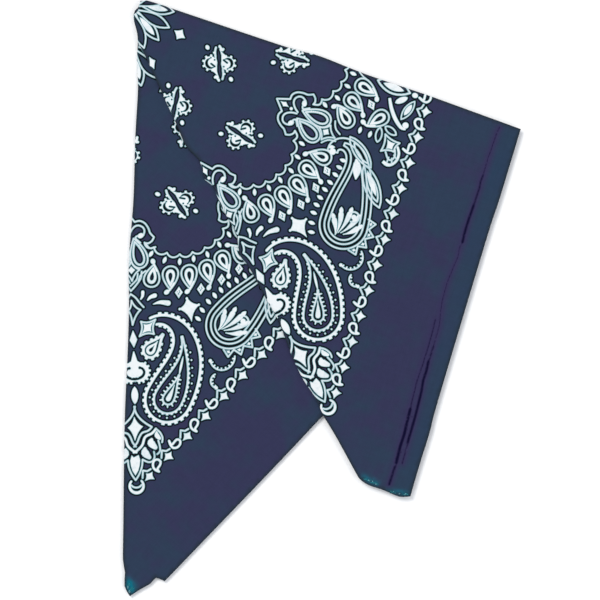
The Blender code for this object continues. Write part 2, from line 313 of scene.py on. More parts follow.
# how an edge turns: its radius and how far round it goes, in half turns
edges = {
    "rolled": (1.0, 1.0),
    "doubled": (1.12, 1.0),
    "wrapped": (1.1, 1.0),
    "raw": (0.28, 0.5),
}


def smoothStep(share):
    share = np.clip(share, 0.0, 1.0)
    return share * share * (3.0 - 2.0 * share)


def spline(points, step):
    # smooth curve through the points
    ends = [points[0], *points, points[-1]]
    curve = []
    for before, start, end, after in zip(ends, ends[1:], ends[2:], ends[3:]):
        count = max(1, round(math.dist(start, end) / step))
        for i in range(count):
            t = i / count
            curve.append(tuple(
                0.5 * (2.0 * b + (c - a) * t + (2.0 * a - 5.0 * b + 4.0 * c - d) * t ** 2
                       + (3.0 * b - a - 3.0 * c + d) * t ** 3)
                for a, b, c, d in zip(before, start, end, after)))
    curve.append(tuple(points[-1]))
    return curve


def outlineOf(*runs):
    # closed outline of named runs, and the radius and turn of its edge at each point
    outline = []
    turns = []
    for name, kind, step in runs:
        curve = spline(fold[name], step)[:-1]
        outline += curve
        turns += [edges[kind]] * len(curve)
    turns = np.array(turns)
    return np.array(outline), (turns + np.roll(turns, 1, axis=0)) / 2.0


def nearRun(points, run):
    # distance of each point from an open run
    run = np.array(run)
    nearest = np.full(len(points), np.inf)
    for start, end in zip(run, run[1:]):
        along = end - start
        share = np.clip(((points - start) @ along) / (along @ along), 0.0, 1.0)
        gap = np.hypot(*(points - start - share[:, None] * along).T)
        nearest = np.minimum(nearest, gap)
    return nearest


def nearOutline(points, outline, turns):
    # distance inside a closed outline (negative outside), the way inwards, and the edge's radius at the
    # nearest place
    best = np.full(len(points), np.inf)
    away = np.zeros((len(points), 2))
    normal = np.zeros((len(points), 2))
    radius = np.zeros(len(points))
    inside = np.zeros(len(points), bool)
    for i in range(len(outline)):
        start = outline[i]
        along = outline[(i + 1) % len(outline)] - start
        length = math.hypot(*along)
        share = np.clip(((points - start) @ along) / (length * length), 0.0, 1.0)
        offset = points - start - share[:, None] * along
        gap = np.hypot(*offset.T)
        closer = gap < best
        best = np.where(closer, gap, best)
        away = np.where(closer[:, None], offset, away)
        normal = np.where(closer[:, None], np.array((along[1], -along[0])) / length, normal)
        nextTurn = turns[(i + 1) % len(turns)]
        radius = np.where(closer, turns[i][0] + share * (nextTurn[0] - turns[i][0]), radius)
        crosses = (start[1] > points[:, 1]) != (start[1] + along[1] > points[:, 1])
        if crosses.any():
            reach = start[0] + (points[:, 1] - start[1]) * along[0] / (along[1] if along[1] else 1e-12)
            inside ^= crosses & (points[:, 0] < reach)
    side = np.where(inside, 1.0, -1.0)
    inward = np.where((best > 1e-3)[:, None], away * (side / np.maximum(best, 1e-9))[:, None], normal)
    return best * side, inward, radius


def mitres(outline, longest):
    # the way outwards at each corner, long enough to keep both sides at one distance, up to a limit
    before = outline - np.roll(outline, 1, axis=0)
    after = np.roll(outline, -1, axis=0) - outline
    total = before / np.hypot(*before.T)[:, None] + after / np.hypot(*after.T)[:, None]
    total = np.column_stack((-total[:, 1], total[:, 0]))
    reach = total * 2.0 / np.maximum((total * total).sum(axis=1), 1e-6)[:, None]
    return reach * np.minimum(1.0, longest / np.hypot(*reach.T))[:, None]


def spread(outline, turns, share):
    # a row round the flat cloth, from where its edge begins to turn down (0) to its end (1)
    radius, turn = turns.T
    return outline + mitres(outline, 1.6) * (radius * (turn * share * math.pi - 1.0))[:, None]


def gridInside(outline, spacing, margin):
    low = outline.min(axis=0)
    high = outline.max(axis=0)
    rowHeight = spacing * math.sqrt(3.0) / 2.0
    points = []
    for row in range(1, int((high[1] - low[1]) / rowHeight) + 1):
        for column in range(int((high[0] - low[0]) / spacing) + 1):
            points.append((low[0] + (column + 0.5 * (row % 2)) * spacing, low[1] + row * rowHeight))
    points = np.array(points)
    gap, _, _ = nearOutline(points, outline, np.ones((len(outline), 2)))
    return points[gap > margin]


# the cloth as a thin shell whose edges turn down

creases = {
    # long soft creases: points, half width, height (negative is a trough)
    "right": (
        (((-96.0, 150.0), (-20.0, 96.0), (70.0, 58.0)), 15.0, 0.34),
        (((-60.0, 176.0), (-22.0, 128.0), (12.0, 92.0)), 9.0, -0.22),
        (((14.0, 132.0), (52.0, 60.0), (66.0, -20.0)), 17.0, 0.30),
        (((-44.0, 40.0), (6.0, 22.0), (64.0, 26.0)), 11.0, -0.20),
        (((-8.0, -24.0), (30.0, -62.0), (46.0, -118.0)), 10.0, 0.38),
        (((60.0, 10.0), (86.0, 16.0), (112.0, 30.0)), 8.0, -0.18),
        (((30.0, -84.0), (52.0, -100.0), (70.0, -112.0)), 7.0, 0.26)),
    "left": (
        (((-130.0, 60.0), (-100.0, 10.0), (-88.0, -60.0)), 14.0, 0.30),
        (((-112.0, -40.0), (-84.0, -92.0), (-52.0, -118.0)), 10.0, -0.22),
        (((-128.0, -120.0), (-112.0, -152.0), (-104.0, -186.0)), 8.0, 0.42),
        (((-60.0, 10.0), (-44.0, -48.0), (-20.0, -86.0)), 12.0, 0.24),
        (((-134.0, -88.0), (-118.0, -96.0), (-90.0, -94.0)), 7.0, -0.18)),
    "fade": 0.55,       # a crease dies away over this share of its length
    "wander": 0.35,     # how much its width changes on the way
    "swell": 0.16,      # how far the cloth between them rises and falls
}


seams = {
    # rows of stitches on the hem, from the folded edge down to the corner end: places, how deep the painted
    # shade of the crease is, and the radius of the stitches
    "top": (((123.9, 118.8), (121.8, 114.6), (119.0, 106.2), (115.9, 97.2), (112.4, 85.3)), 0.25, 0.12),
    "upper": (
        ((112.4, 85.3), (110.7, 81.1), (110.0, 76.9), (108.6, 72.7), (107.2, 68.5),
         (105.8, 64.3)), 0.6, 0.17),
    "bold": (((105.8, 64.3), (104.4, 60.1), (102.8, 55.9), (100.2, 47.5), (98.1, 38.8)), 0.9, 0.25),
    "middle": (
        ((96.3, 35.6), (94.6, 28.0), (90.4, 18.2), (87.2, 9.8), (84.1, -1.4), (82.7, -11.2),
         (82.0, -18.9), (78.1, -32.9)), 0.25, 0.1),
    "low": (((77.8, -34.3), (75.7, -40.5), (74.3, -44.7)), 0.55, 0.17),
    "lowBold": (
        ((74.3, -44.7), (72.9, -51.0), (70.8, -57.3), (69.4, -65.7), (67.3, -74.1), (65.2, -82.5),
         (62.8, -90.9), (60.3, -99.3), (60.0, -100.7)), 0.95, 0.26),
    "lowEnd": (((59.6, -102.8), (58.2, -107.6), (56.1, -115.3)), 0.4, 0.13),
    "innerTop": (
        ((79.2, -15.4), (77.1, -23.8), (73.6, -36.3), (69.8, -48.2), (66.6, -57.3), (64.5, -65.7),
         (62.4, -74.1), (62.1, -76.2)), 0.4, 0.13),
    "inner": (((61.7, -77.6), (59.6, -86.0), (57.5, -95.1), (54.7, -103.5), (51.9, -115.0)), 1.0, 0.34),
    "innerEnd": (((50.9, -118.1), (48.8, -124.4), (47.0, -130.0)), 0.75, 0.27),
}
frays = {
    # ends where the dye has gone and the yarn shows: a run along each, how far it reaches, and how much
    "cornerLeft": ((29.8, -125.6), (37.6, -129.6), 2.4, 0.85),
    "cornerRight": ((46.5, -135.6), (60.0, -137.2), 2.3, 0.85),
    "tip": ((-135.4, -199.8), (-132.6, -204.6), 3.6, 1.7),
}
marks = {
    "brinkShade": (2.3, 1.7),    # painted shade at the turned edges: starts this far from the outline, and is full after this much more
    "halo": 3.0,            # how far the plum colour reaches beside a row
    "hemFade": 5.0,
    "crease": (0.7, 1.7),   # half width of a row's painted crease shade: at least this, and this much of its radius
    "netStep": 2.2,
    "netOffsets": (-1.5, -0.7, 0.0, 0.7, 1.5),
}


hemLine = spline(fold["hemmedSide"], 9.0)


def seamGap(points):
    return np.minimum.reduce([nearRun(points, row) for row, _, _ in seams.values()])


def seamNet():
    # extra points of the flat cloth on both sides of each row, so that its crease has a soft bottom
    points = []
    for row, _, _ in seams.values():
        way = np.array(spline(row, marks["netStep"]))
        runs = np.gradient(way, axis=0)
        across = np.column_stack((-runs[:, 1], runs[:, 0])) / np.hypot(*runs.T)[:, None]
        for offset in marks["netOffsets"]:
            points += list(way + across * offset)
    return points


def marksOf(points):
    # how near the cloth is to a row of stitches, with painted shade in its crease, and to a frayed end
    least, share = marks["crease"]
    crease = np.maximum.reduce([
        depth * np.exp(-(nearRun(points, row) / (least + radius * share)) ** 2)
        for row, depth, radius in seams.values()])
    hem = levels["hemWidth"] - nearRun(points, hemLine)
    return {
        "seam": 0.5 * np.exp(-(seamGap(points) / marks["halo"]) ** 2) + 0.5 * crease,
        "hem": smoothStep(hem / marks["hemFade"]),
        "frayed": np.maximum.reduce([
            share * np.exp(-(nearRun(points, (start, end)) / reach) ** 2)
            for start, end, reach, share in frays.values()])}


def markCloth(piece, outline, turns):
    mesh = piece.data
    places = np.zeros(len(mesh.vertices) * 3)
    mesh.vertices.foreach_get("co", places)
    plan = places.reshape(-1, 3)[:, :2] / mm
    inside, _, _ = nearOutline(plan, outline, turns)
    start, width = marks["brinkShade"]
    # painted shade near the outline, where the cloth turns down
    found = {"brinkShade": np.clip((start - inside) / width, 0.0, 1.0), **marksOf(plan)}
    for name, values in found.items():
        mark(piece, name, "POINT", values)


def creaseHeight(points, side):
    height = np.zeros(len(points))
    for way, halfWidth, rise in creases[side]:
        way = np.array(spline(way, 12.0))
        gap = nearRun(points, way)
        reach = nearRun(points, np.array((way[len(way) // 2 - 1], way[len(way) // 2])))
        fade = np.exp(-(reach / (creases["fade"] * math.dist(way[0], way[-1]))) ** 2)
        wander = 1.0 + creases["wander"] * np.sin(reach * 0.11 + halfWidth)
        height += rise * np.exp(-(gap / (halfWidth * wander)) ** 2) * fade
    u, v = points.T
    slow = np.sin(u / 31.0 + 1.3) * np.sin(v / 23.0 + 0.4) + 0.6 * np.sin(u / 17.0 - v / 41.0)
    return height + creases["swell"] * slow * 0.6


def heightRight(points):
    groove = levels["seamDepth"] * np.exp(-(seamGap(points) / levels["seamReach"]) ** 2)
    hem = nearRun(points, hemLine) - levels["hemWidth"] - levels["hemEase"]
    lift = smoothStep(1.0 - hem / levels["ease"])
    pleat = fold["legFold"] + fold["pleatFold"][1:] + fold["apexFold"][1:]
    margin = nearRun(points, pleat) - levels["foldMargin"]
    rise = smoothStep(1.0 - margin / levels["ease"]) * (1.0 - lift)
    top = levels["rightTop"] + levels["hemLift"] * lift + levels["foldRise"] * rise
    depth = levels["cloth"] + levels["foldRise"] * rise + levels["hemPly"] * lift
    return top + creaseHeight(points, "right") - groove, depth


def heightLeft(points):
    return levels["leftTop"] + creaseHeight(points, "left"), np.full(len(points), levels["cloth"])


def tuples(points):
    return [tuple(point) for point in points]


def ringEdges(count, first=0):
    return [(first + i, first + (i + 1) % count) for i in range(count)]


def triangulate(flat, edgesIn, facesIn):
    found, _, faces, origins, _, sources = delaunay_2d_cdt(
        [Vector(point) for point in flat], edgesIn, facesIn, 1, 1e-4)
    return np.array(tuples(found)), faces, origins, sources


def bendDown(points, outline, turns, heights):
    # place the flat cloth's points: level inside, turned down round the edge outside
    inside, inward, radius = nearOutline(points, outline, turns)
    beyond = np.maximum(radius - inside, 0.0)
    angle = np.minimum(beyond / radius, math.pi)
    moved = points + inward * (beyond - radius * np.sin(angle))[:, None]
    top, _ = heights(moved)
    normals = np.column_stack((-inward * np.sin(angle)[:, None], np.cos(angle)))
    return np.column_stack((moved, top - radius * (1.0 - np.cos(angle)))), normals


def bordersOf(triangles):
    # the directed sides that only one triangle has
    sides = dict.fromkeys(side for a, b, c in triangles for side in ((c, a), (a, b), (b, c)))
    return [(a, b) for a, b in sides if (b, a) not in sides]


def outerRing(triangles):
    # the points round the outside of a mesh, in order
    following = dict(bordersOf(triangles))
    rings = []
    while following:
        start = next(iter(following))
        ring = [start]
        here = following.pop(start)
        while here != start:
            ring.append(here)
            here = following.pop(here)
        rings.append(ring)
    return max(rings, key=len)


def compact(faces):
    # the points that faces use, and the faces in those points' new numbers
    used = sorted({i for face in faces for i in face})
    renumber = {old: new for new, old in enumerate(used)}
    return used, [[renumber[i] for i in face] for face in faces]


def capRing(rim, rimIndex, inner, surface, places):
    # triangles over a ring of flat points and the points inside it, which are added to the places
    found, faces, origins, _ = triangulate(tuples(rim) + tuples(inner), ringEdges(len(rim)), [])
    height = surface(found)
    index = []
    for i, origin in enumerate(origins):
        if origin and min(origin) < len(rim):
            index.append(rimIndex[min(origin)])
        else:
            index.append(len(places))
            places.append((*found[i], height[i]))
    return [[index[i] for i in face] for face in faces]


def linked(name, data):
    piece = bpy.data.objects.new(name, data)
    bpy.context.scene.collection.objects.link(piece)
    return piece


def meshFrom(name, places, faces, flat, finish):
    # mesh of metres from millimetre places, with the flat cloth's own coordinates as a map
    mesh = bpy.data.meshes.new(name)
    mesh.from_pydata([tuple(np.array(place) * mm) for place in places], [], faces)
    layer = mesh.uv_layers.new(name="cloth")
    corners = np.zeros(len(mesh.loops), int)
    mesh.loops.foreach_get("vertex_index", corners)
    layer.data.foreach_set("uv", (np.array(flat)[corners] * mm).ravel())
    mesh.shade_smooth()
    mesh.materials.append(finish)
    return linked(name, mesh)


def mark(piece, name, kind, values):
    piece.data.attributes.new(name, "FLOAT", kind).data.foreach_set("value", values)


inkRise = 0.09      # how far the print stands on the cloth
shell = {"grid": 2.4, "margin": 1.9, "underGrid": 13.0, "underMargin": 4.0, "tuck": 0.45}
printRim = {
    "width": 1.5,
    "inner": 0.06,      # how high the band stands at the print and at its far side
    "outer": 0.008,
    "sharp": 0.77,      # a corner sharper than this gets a fan
    "fanStep": 0.7,
    "nearRing": 0.05,
    "leastRun": 0.02,
}


def clothNet(outline, turns, extra):
    # points of the flat cloth, rows of edges round its turned sides, and its outer ring
    flat = []
    edgesIn = []
    for share in (1.0, 0.8, 0.6, 0.4, 0.2, 0.0):
        edgesIn += ringEdges(len(outline), len(flat))
        flat += tuples(spread(outline, turns, share))
    flat += tuples(gridInside(outline, shell["grid"], shell["margin"])) + tuples(extra)
    return flat, edgesIn, list(range(len(outline)))[::-1]


def rimOf(points, triangles, ring):
    # a band that slopes down from the print's edge: its flat places, faces, and 1 at the edge to 0 beyond it
    runs = {}
    arriving = {}
    leaving = {}
    for a, b in sorted(bordersOf(triangles)):
        run = points[b] - points[a]
        length = math.hypot(*run)
        if length > 1e-3:
            runs[(a, b)] = run / length
            leaving.setdefault(a, []).append((a, b))
            arriving.setdefault(b, []).append((a, b))
    used = sorted({i for side in runs for i in side})
    gap = nearRun(points[used], np.vstack((ring, ring[:1])))
    atRing = {i for i, distance in zip(used, gap) if distance < printRim["nearRing"]}
    flat = tuples(points[used])
    share = [1.0] * len(flat)
    inner = {i: k for k, i in enumerate(used)}
    width = printRim["width"]

    def beyond(i, normal):
        flat.append(tuple(points[i] + normal * width))
        share.append(0.0)
        return len(flat) - 1

    def sideways(run):
        return np.array((run[1], -run[0]))

    faces = []
    shared = {}
    for i in used:
        before = arriving.get(i, [])
        after = leaving.get(i, [])
        if len(before) != 1 or len(after) != 1:
            continue
        first = runs[before[0]]
        second = runs[after[0]]
        together = first @ second
        if together > printRim["sharp"]:
            normal = sideways(first + second) / (1.0 + together)
            shared[i] = beyond(i, normal)
        elif first[0] * second[1] - first[1] * second[0] > 0.0:
            start = math.atan2(*sideways(first)[::-1])
            turn = math.acos(max(-1.0, min(1.0, together)))
            count = max(1, round(turn / printRim["fanStep"]))
            angles = [start + turn * k / count for k in range(count + 1)]
            fan = [beyond(i, np.array((math.cos(angle), math.sin(angle)))) for angle in angles]
            faces += [(inner[i], fan[k], fan[k + 1]) for k in range(count)]
    for (a, b), run in runs.items():
        if a in atRing and b in atRing:
            continue
        normal = sideways(run)
        outerA = shared[a] if a in shared else beyond(a, normal)
        outerB = shared[b] if b in shared else beyond(b, normal)
        if (np.array(flat[outerB]) - np.array(flat[outerA])) @ run < printRim["leastRun"]:
            outerA = beyond(a, normal)
            outerB = beyond(b, normal)
        faces.append((inner[a], outerA, outerB, inner[b]))
    return np.array(flat), faces, share


def paint(flat, edgesIn, ring, shapes):
    # the shapes cut from the flat cloth in painting order: its points, and the inked triangles and their inks
    flat = list(flat)
    faces = [ring]
    inks = [0]
    wide = np.array(flat[:len(ring)])
    low = wide.min(axis=0) - 1.0
    high = wide.max(axis=0) + 1.0
    for ink, points in shapes:
        array = np.array(points)
        if (array.max(axis=0) < low).any() or (array.min(axis=0) > high).any():
            continue
        corners = list(range(len(flat), len(flat) + len(points)))
        flat += points
        area = sum(a[0] * b[1] - b[0] * a[1] for a, b in zip(points, points[1:] + points[:1]))
        faces.append(corners if area > 0.0 else corners[::-1])
        inks.append(ink)
    drawn, triangles, _, sources = triangulate(flat, edgesIn, faces)
    chosen = [(list(triangle), inks[max(source)]) for triangle, source in zip(triangles, sources)
              if 0 in source and inks[max(source)] > 0]
    return drawn, [face for face, _ in chosen], [ink for _, ink in chosen]


def printOn(name, flat, edgesIn, ring, shapes, bend, cloth):
    # the print as pieces that lie on the cloth, and the dark rim round it
    drawn, inked, inks = paint(flat, edgesIn, ring, shapes)
    used, faces = compact(inked)
    bent, up = bend(drawn[used])
    coat = meshFrom(f"{name}_print", bent + up * inkRise, faces, cloth(drawn[used]), finishes["white"])
    mark(coat, "thinLine", "FACE", [float(ink == 2) for ink in inks])
    rim, faces, share = rimOf(drawn, inked, np.array(flat[:len(ring)]))
    bent, up = bend(rim)
    rise = printRim["outer"] + (printRim["inner"] - printRim["outer"]) * np.array(share)
    band = meshFrom(f"{name}_printRim", bent + up * rise[:, None], faces, cloth(rim), finishes["rim"])
    mark(band, "printEdge", "POINT", share)
    return [coat, band]


def printedSheet(name, outline, turns, heights, shapes, cloth, extra=()):
    # one panel: its cloth as a closed thin shell, and the print as pieces that lie on it
    def bend(points):
        return bendDown(points, outline, turns, heights)

    def underside(points):
        return np.subtract(*heights(points))

    flat, edgesIn, ring = clothNet(outline, turns, extra)
    found, kept, _, _ = triangulate(flat, edgesIn, [ring])
    places, _ = bend(found)
    prints = printOn(name, flat, edgesIn, ring, shapes, bend, cloth) if shapes else []

    # the shell: the cloth on top, and a ring and a coarse cap underneath
    ring = outerRing(kept)
    plan = places[ring][:, :2]
    _, inward, radius = nearOutline(plan, outline, turns)
    under = plan + inward * np.minimum(shell["tuck"], radius)[:, None]
    coordinates = cloth(found)
    coordinates = [*coordinates, *coordinates[ring]]
    underRing = range(len(places), len(places) + len(under))
    places = [*places, *np.column_stack((under, underside(under)))]
    triangles = [list(triangle) for triangle in kept]
    for i, j in ringEdges(len(ring)):
        triangles.append([ring[j], ring[i], underRing[i]])
        triangles.append([ring[j], underRing[i], underRing[j]])
    inner = gridInside(outline, shell["underGrid"], shell["underMargin"])
    cap = capRing(under, underRing, inner, underside, places)
    triangles += [face[::-1] for face in cap]
    coordinates += list(cloth(np.array(places[len(coordinates):])[:, :2]))
    used, faces = compact(triangles)
    sheet = meshFrom(
        name, [places[i] for i in used], faces, [coordinates[i] for i in used], finishes["cotton"])
    markCloth(sheet, outline, turns)
    print(name, "triangles:", len(triangles), "print:", sum(len(p.data.polygons) for p in prints))
    return sheet, prints


# the print, drawn once on the flat cloth: shapes in painting order, white (1), white worn
# thin (2) or bare cloth (0)

art = []
lineWidth = 0.95
thinWidth = 1.25    # lines finer than this print paler
unit = 0.7          # the small motifs are drawn on a grid of this many millimetres


def turned(points, centre, degrees, size=1.0):
    c = math.cos(math.radians(degrees)) * size
    s = math.sin(math.radians(degrees)) * size
    return [(centre[0] + x * c - y * s, centre[1] + x * s + y * c) for x, y in points]


def aim(start, end):
    return math.degrees(math.atan2(end[1] - start[1], end[0] - start[0]))


def between(first, second, share):
    return tuple(a + (b - a) * share for a, b in zip(first, second))


def fill(points, ink=1):
    art.append((ink, points))


def arc(centre, radius, start, end, count):
    return [(centre[0] + radius * math.cos(math.radians(start + (end - start) * i / count)),
             centre[1] + radius * math.sin(math.radians(start + (end - start) * i / count)))
            for i in range(count + 1)]


def disc(centre, radius, ink=1, sides=14):
    fill(arc(centre, radius, 0.0, 360.0, sides)[:-1], ink)


def dot(centre, length, width, degrees=0.0):
    ring = arc((0.0, 0.0), 1.0, 0.0, 360.0, 12)[:-1]
    fill(turned([(length / 2.0 * x, width / 2.0 * y) for x, y in ring], centre, degrees))


strokes = {
    "bent": 0.3,        # a bend whose sides point less alike than this gets a disc
    "shortest": 0.06,   # a shorter piece is left out
    "leastTurn": 0.01,  # a piece whose corners turn less than this isn't safe to fill
}


def waysAcross(points, closed):
    # the way to the left at each point of a line, or None where it bends sharply
    normals = []
    for i in range(len(points)):
        before = points[i - 1] if i > 0 else (points[-2] if closed else None)
        after = points[i + 1] if i + 1 < len(points) else (points[1] if closed else None)
        runs = []
        for a, b in ((before, points[i]), (points[i], after)):
            if a is not None and b is not None:
                length = max(math.dist(a, b), 1e-6)
                runs.append(((b[0] - a[0]) / length, (b[1] - a[1]) / length))
        if len(runs) == 1:
            normals.append((-runs[0][1], runs[0][0]))
        else:
            (ax, ay), (bx, by) = runs
            together = ax * bx + ay * by
            if together < strokes["bent"]:
                normals.append(None)
            else:
                normals.append((-(ay + by) / (1.0 + together), (ax + bx) / (1.0 + together)))
    return normals


def line(points, width=lineWidth, ink=1, closed=False, taper=(1.0, 1.0)):
    # a drawn line as a row of four-sided pieces, with discs at its sharp bends and ends
    points = list(points)
    if closed:
        points.append(points[0])
    if ink == 1 and width < thinWidth:
        ink = 2
    start, end = taper
    last = len(points) - 1
    widths = [width * (start + (end - start) * (i / last)) / 2.0 for i in range(len(points))]
    normals = waysAcross(points, closed)
    for i in range(last):
        a, b = points[i], points[i + 1]
        length = math.dist(a, b)
        if length < strokes["shortest"]:
            continue
        plain = (-(b[1] - a[1]) / length, (b[0] - a[0]) / length)
        na = normals[i] or plain
        nb = normals[i + 1] or plain
        for first, second in ((na, nb), (plain, plain)):
            piece = [
                (a[0] - first[0] * widths[i], a[1] - first[1] * widths[i]),
                (b[0] - second[0] * widths[i + 1], b[1] - second[1] * widths[i + 1]),
                (b[0] + second[0] * widths[i + 1], b[1] + second[1] * widths[i + 1]),
                (a[0] + first[0] * widths[i], a[1] + first[1] * widths[i])]
            corners = zip(piece, piece[1:] + piece[:1], piece[2:] + piece[:2])
            if all((q[0] - p[0]) * (r[1] - q[1]) - (q[1] - p[1]) * (r[0] - q[0]) > strokes["leastTurn"]
                   for p, q, r in corners):
                break
        fill(piece, ink)
        if normals[i] is None:
            disc(a, widths[i], ink, 8)
    if not closed:
        disc(points[0], widths[0], ink, 8)
        disc(points[-1], widths[-1], ink, 8)


def curve(points, width=lineWidth, ink=1, taper=(1.0, 1.0), step=1.2):
    line(spline(points, step), width, ink, taper=taper)


def leafPath(base, tip, halfWidth, fullness=0.8, bias=1.0):
    length = math.dist(base, tip)
    right = []
    for i in range(10):
        t = i / 9.0
        right.append((t * length, -halfWidth * max(0.0, math.sin(math.pi * t ** bias)) ** fullness))
    left = [(x, -y) for x, y in right]
    return turned(right[:-1] + left[:0:-1], base, aim(base, tip))


def leaf(base, tip, halfWidth, ink=1, fullness=0.8, bias=1.0):
    fill(leafPath(base, tip, halfWidth, fullness, bias), ink)


def leafLine(base, tip, halfWidth, width=lineWidth, fullness=0.8, bias=1.0):
    line(leafPath(base, tip, halfWidth, fullness, bias), width, closed=True)


def starPath(tips, waist):
    centre = (sum(x for x, _ in tips) / len(tips), sum(y for _, y in tips) / len(tips))
    path = []
    for start, end in zip(tips, tips[1:] + tips[:1]):
        middle = between(centre, between(start, end, 0.5), waist)
        for i in range(5):
            t = i / 5.0
            path.append(between(between(start, middle, t), between(middle, end, t), t))
    return path


def starTips(centre, reach, across, degrees):
    return turned([(reach, 0.0), (0.0, across), (-reach, 0.0), (0.0, -across)], centre, degrees)


def star(centre, reach, waist, degrees, across=None):
    fill(starPath(starTips(centre, reach, reach if across is None else across, degrees), waist))


def commaPath(nodes, extra=0.0, step=1.2):
    # outline of a curved drop: its middle line and half width run through the nodes, round past the last
    way = spline(nodes, step)
    right = []
    left = []
    for i, (x, y, radius) in enumerate(way):
        before = way[max(i - 1, 0)]
        after = way[min(i + 1, len(way) - 1)]
        length = math.dist(before[:2], after[:2])
        run = ((after[0] - before[0]) / length, (after[1] - before[1]) / length)
        reach = max(radius + extra, 0.1)
        right.append((x + run[1] * reach, y - run[0] * reach))
        left.append((x - run[1] * reach, y + run[0] * reach))
    count = max(4, round(reach * 3.0))
    start = math.degrees(math.atan2(-run[0], run[1]))
    return right + arc((x, y), reach, start, start + 180.0, count)[1:-1] + left[::-1]


def cone(head, toward, radius, length, hook, tail=0.14, bend=2.3, count=26):
    # a paisley cone, worked out: from its round head it runs on towards a place, thins, and hooks round
    x, y = head
    start = aim(head, toward)
    nodes = [(x, y, radius)]
    for i in range(count):
        heading = math.radians(start + hook * ((i + 0.5) / count) ** bend)
        x += length / count * math.cos(heading)
        y += length / count * math.sin(heading)
        swell = (1.0 + math.cos(math.pi * (i + 1) / count)) / 2.0
        nodes.append((x, y, radius * (tail + (1.0 - tail) * swell)))
    return nodes[::-1]


def insetCone(nodes, inset, width=lineWidth):
    # the same cone drawn again, further in
    kept = [node for node in nodes if node[2] > inset + 0.9]
    line(commaPath(kept, -inset), width, closed=True)


def comma(nodes, ink=1):
    fill(commaPath(nodes), ink)


def dropPath(tip, centre, radius, count=28):
    # pointed at the tip, round about the centre
    full = math.dist(tip, centre) + radius
    widest = 0.77
    path = []
    for i in range(count):
        angle = tau * i / count
        across = radius * math.sin(angle) * abs(math.sin(angle / 2.0)) / widest
        path.append((full * (1.0 - math.cos(angle)) / 2.0, across))
    return turned(path, tip, aim(tip, centre))


def drop(tip, centre, radius, ink=1, count=20):
    fill(dropPath(tip, centre, radius, count), ink)


pears = {"line": 0.95, "radius": 5.4, "white": 3.1, "hole": 1.55, "tail": 1.25, "ball": (3.8, 3.0)}


def pear(centre, tip, ball):
    # a small drop: outline with a ball on its tail, white ring, bare middle
    line(dropPath(tip, centre, pears["radius"]), pears["line"], closed=True)
    drop(between(centre, tip, 0.84), centre, pears["white"])
    drop(between(centre, tip, 0.54), between(centre, tip, 0.04), pears["hole"], 0, count=16)
    away = aim(centre, tip)
    turn = math.radians(aim(tip, ball) - away)
    side = 1.0 if math.sin(turn) > 0.0 else -1.0
    flank = turned([(0.0, -side * 2.6)], between(centre, tip, 0.6), away)[0]
    curve([flank, between(tip, ball, 0.12), between(tip, ball, 0.7), ball], pears["tail"], step=1.0)
    dot(ball, *pears["ball"], aim(tip, ball))


def teeth(path, height, pitch, side=-1.0, share=0.56, top=0.62):
    # small blunt teeth that stand off a path, to its right for side -1
    travelled = pitch * 0.5
    for a, b in zip(path, path[1:]):
        length = math.dist(a, b)
        while travelled < length:
            place = between(a, b, travelled / length)
            half = pitch * share / 2.0
            tooth = turned([(-half, -0.35 * side), (half, -0.35 * side), (half * top, height * side),
                            (-half * top, height * side)], place, aim(a, b))
            fill(tooth if side > 0.0 else tooth[::-1])
            travelled += pitch
        travelled -= length


def beads(path, pitch, radius):
    travelled = pitch * 0.5
    for a, b in zip(path, path[1:]):
        length = math.dist(a, b)
        while travelled < length:
            disc(between(a, b, travelled / length), radius, 1, 8)
            travelled += pitch
        travelled -= length


def scallops(cusps, bulge, width):
    # arcs from cusp to cusp that bulge to the path's right by a share of their span
    for start, end in zip(cusps, cusps[1:]):
        span = math.dist(start, end)
        path = [(span * t, -bulge * span * math.sin(math.pi * t) ** 0.7) for t in np.arange(11) / 10.0]
        line(turned(path, start, aim(start, end)), width)


medallion = {
    "petals": 16, "from": 3.0, "radius": 29.6, "halfWidth": 4.1, "lineAt": 0.95, "line": 0.85, "vein": 1.9,
    "starsAt": 39.2, "star": 3.9, "hole": 5.0}
for k in (*range(1, medallion["petals"], 2), *range(0, medallion["petals"], 2)):
    degrees = (k + 0.5) * 360.0 / medallion["petals"]
    base, tip = turned([(medallion["from"], 0.0), (medallion["radius"], 0.0)], (0.0, 0.0), degrees)
    if k == 15:
        base = (3.6, -3.6)
    leaf(base, tip, medallion["halfWidth"], 0, 0.9, 1.3)
    leafLine(base, tip, medallion["halfWidth"] * medallion["lineAt"], medallion["line"], 0.9, 1.3)
    if k % 2 == 1:
        leaf(between(base, tip, 0.22), between(base, tip, 0.82), medallion["vein"], fullness=0.75, bias=1.1)
    elif k > 2:
        star(turned([(medallion["starsAt"], 0.0)], (0.0, 0.0), degrees)[0], medallion["star"], 0.62, degrees)
disc((0.0, 0.0), medallion["hole"], 0, 20)


fill(starPath([(33.3, 6.7), (38.4, 4.6), (41.6, 9.6), (36.5, 11.9)], 0.72))
fill(starPath([(21.9, 29.6), (26.3, 30.7), (27.4, 36.4), (23.8, 35.4)], 0.75))


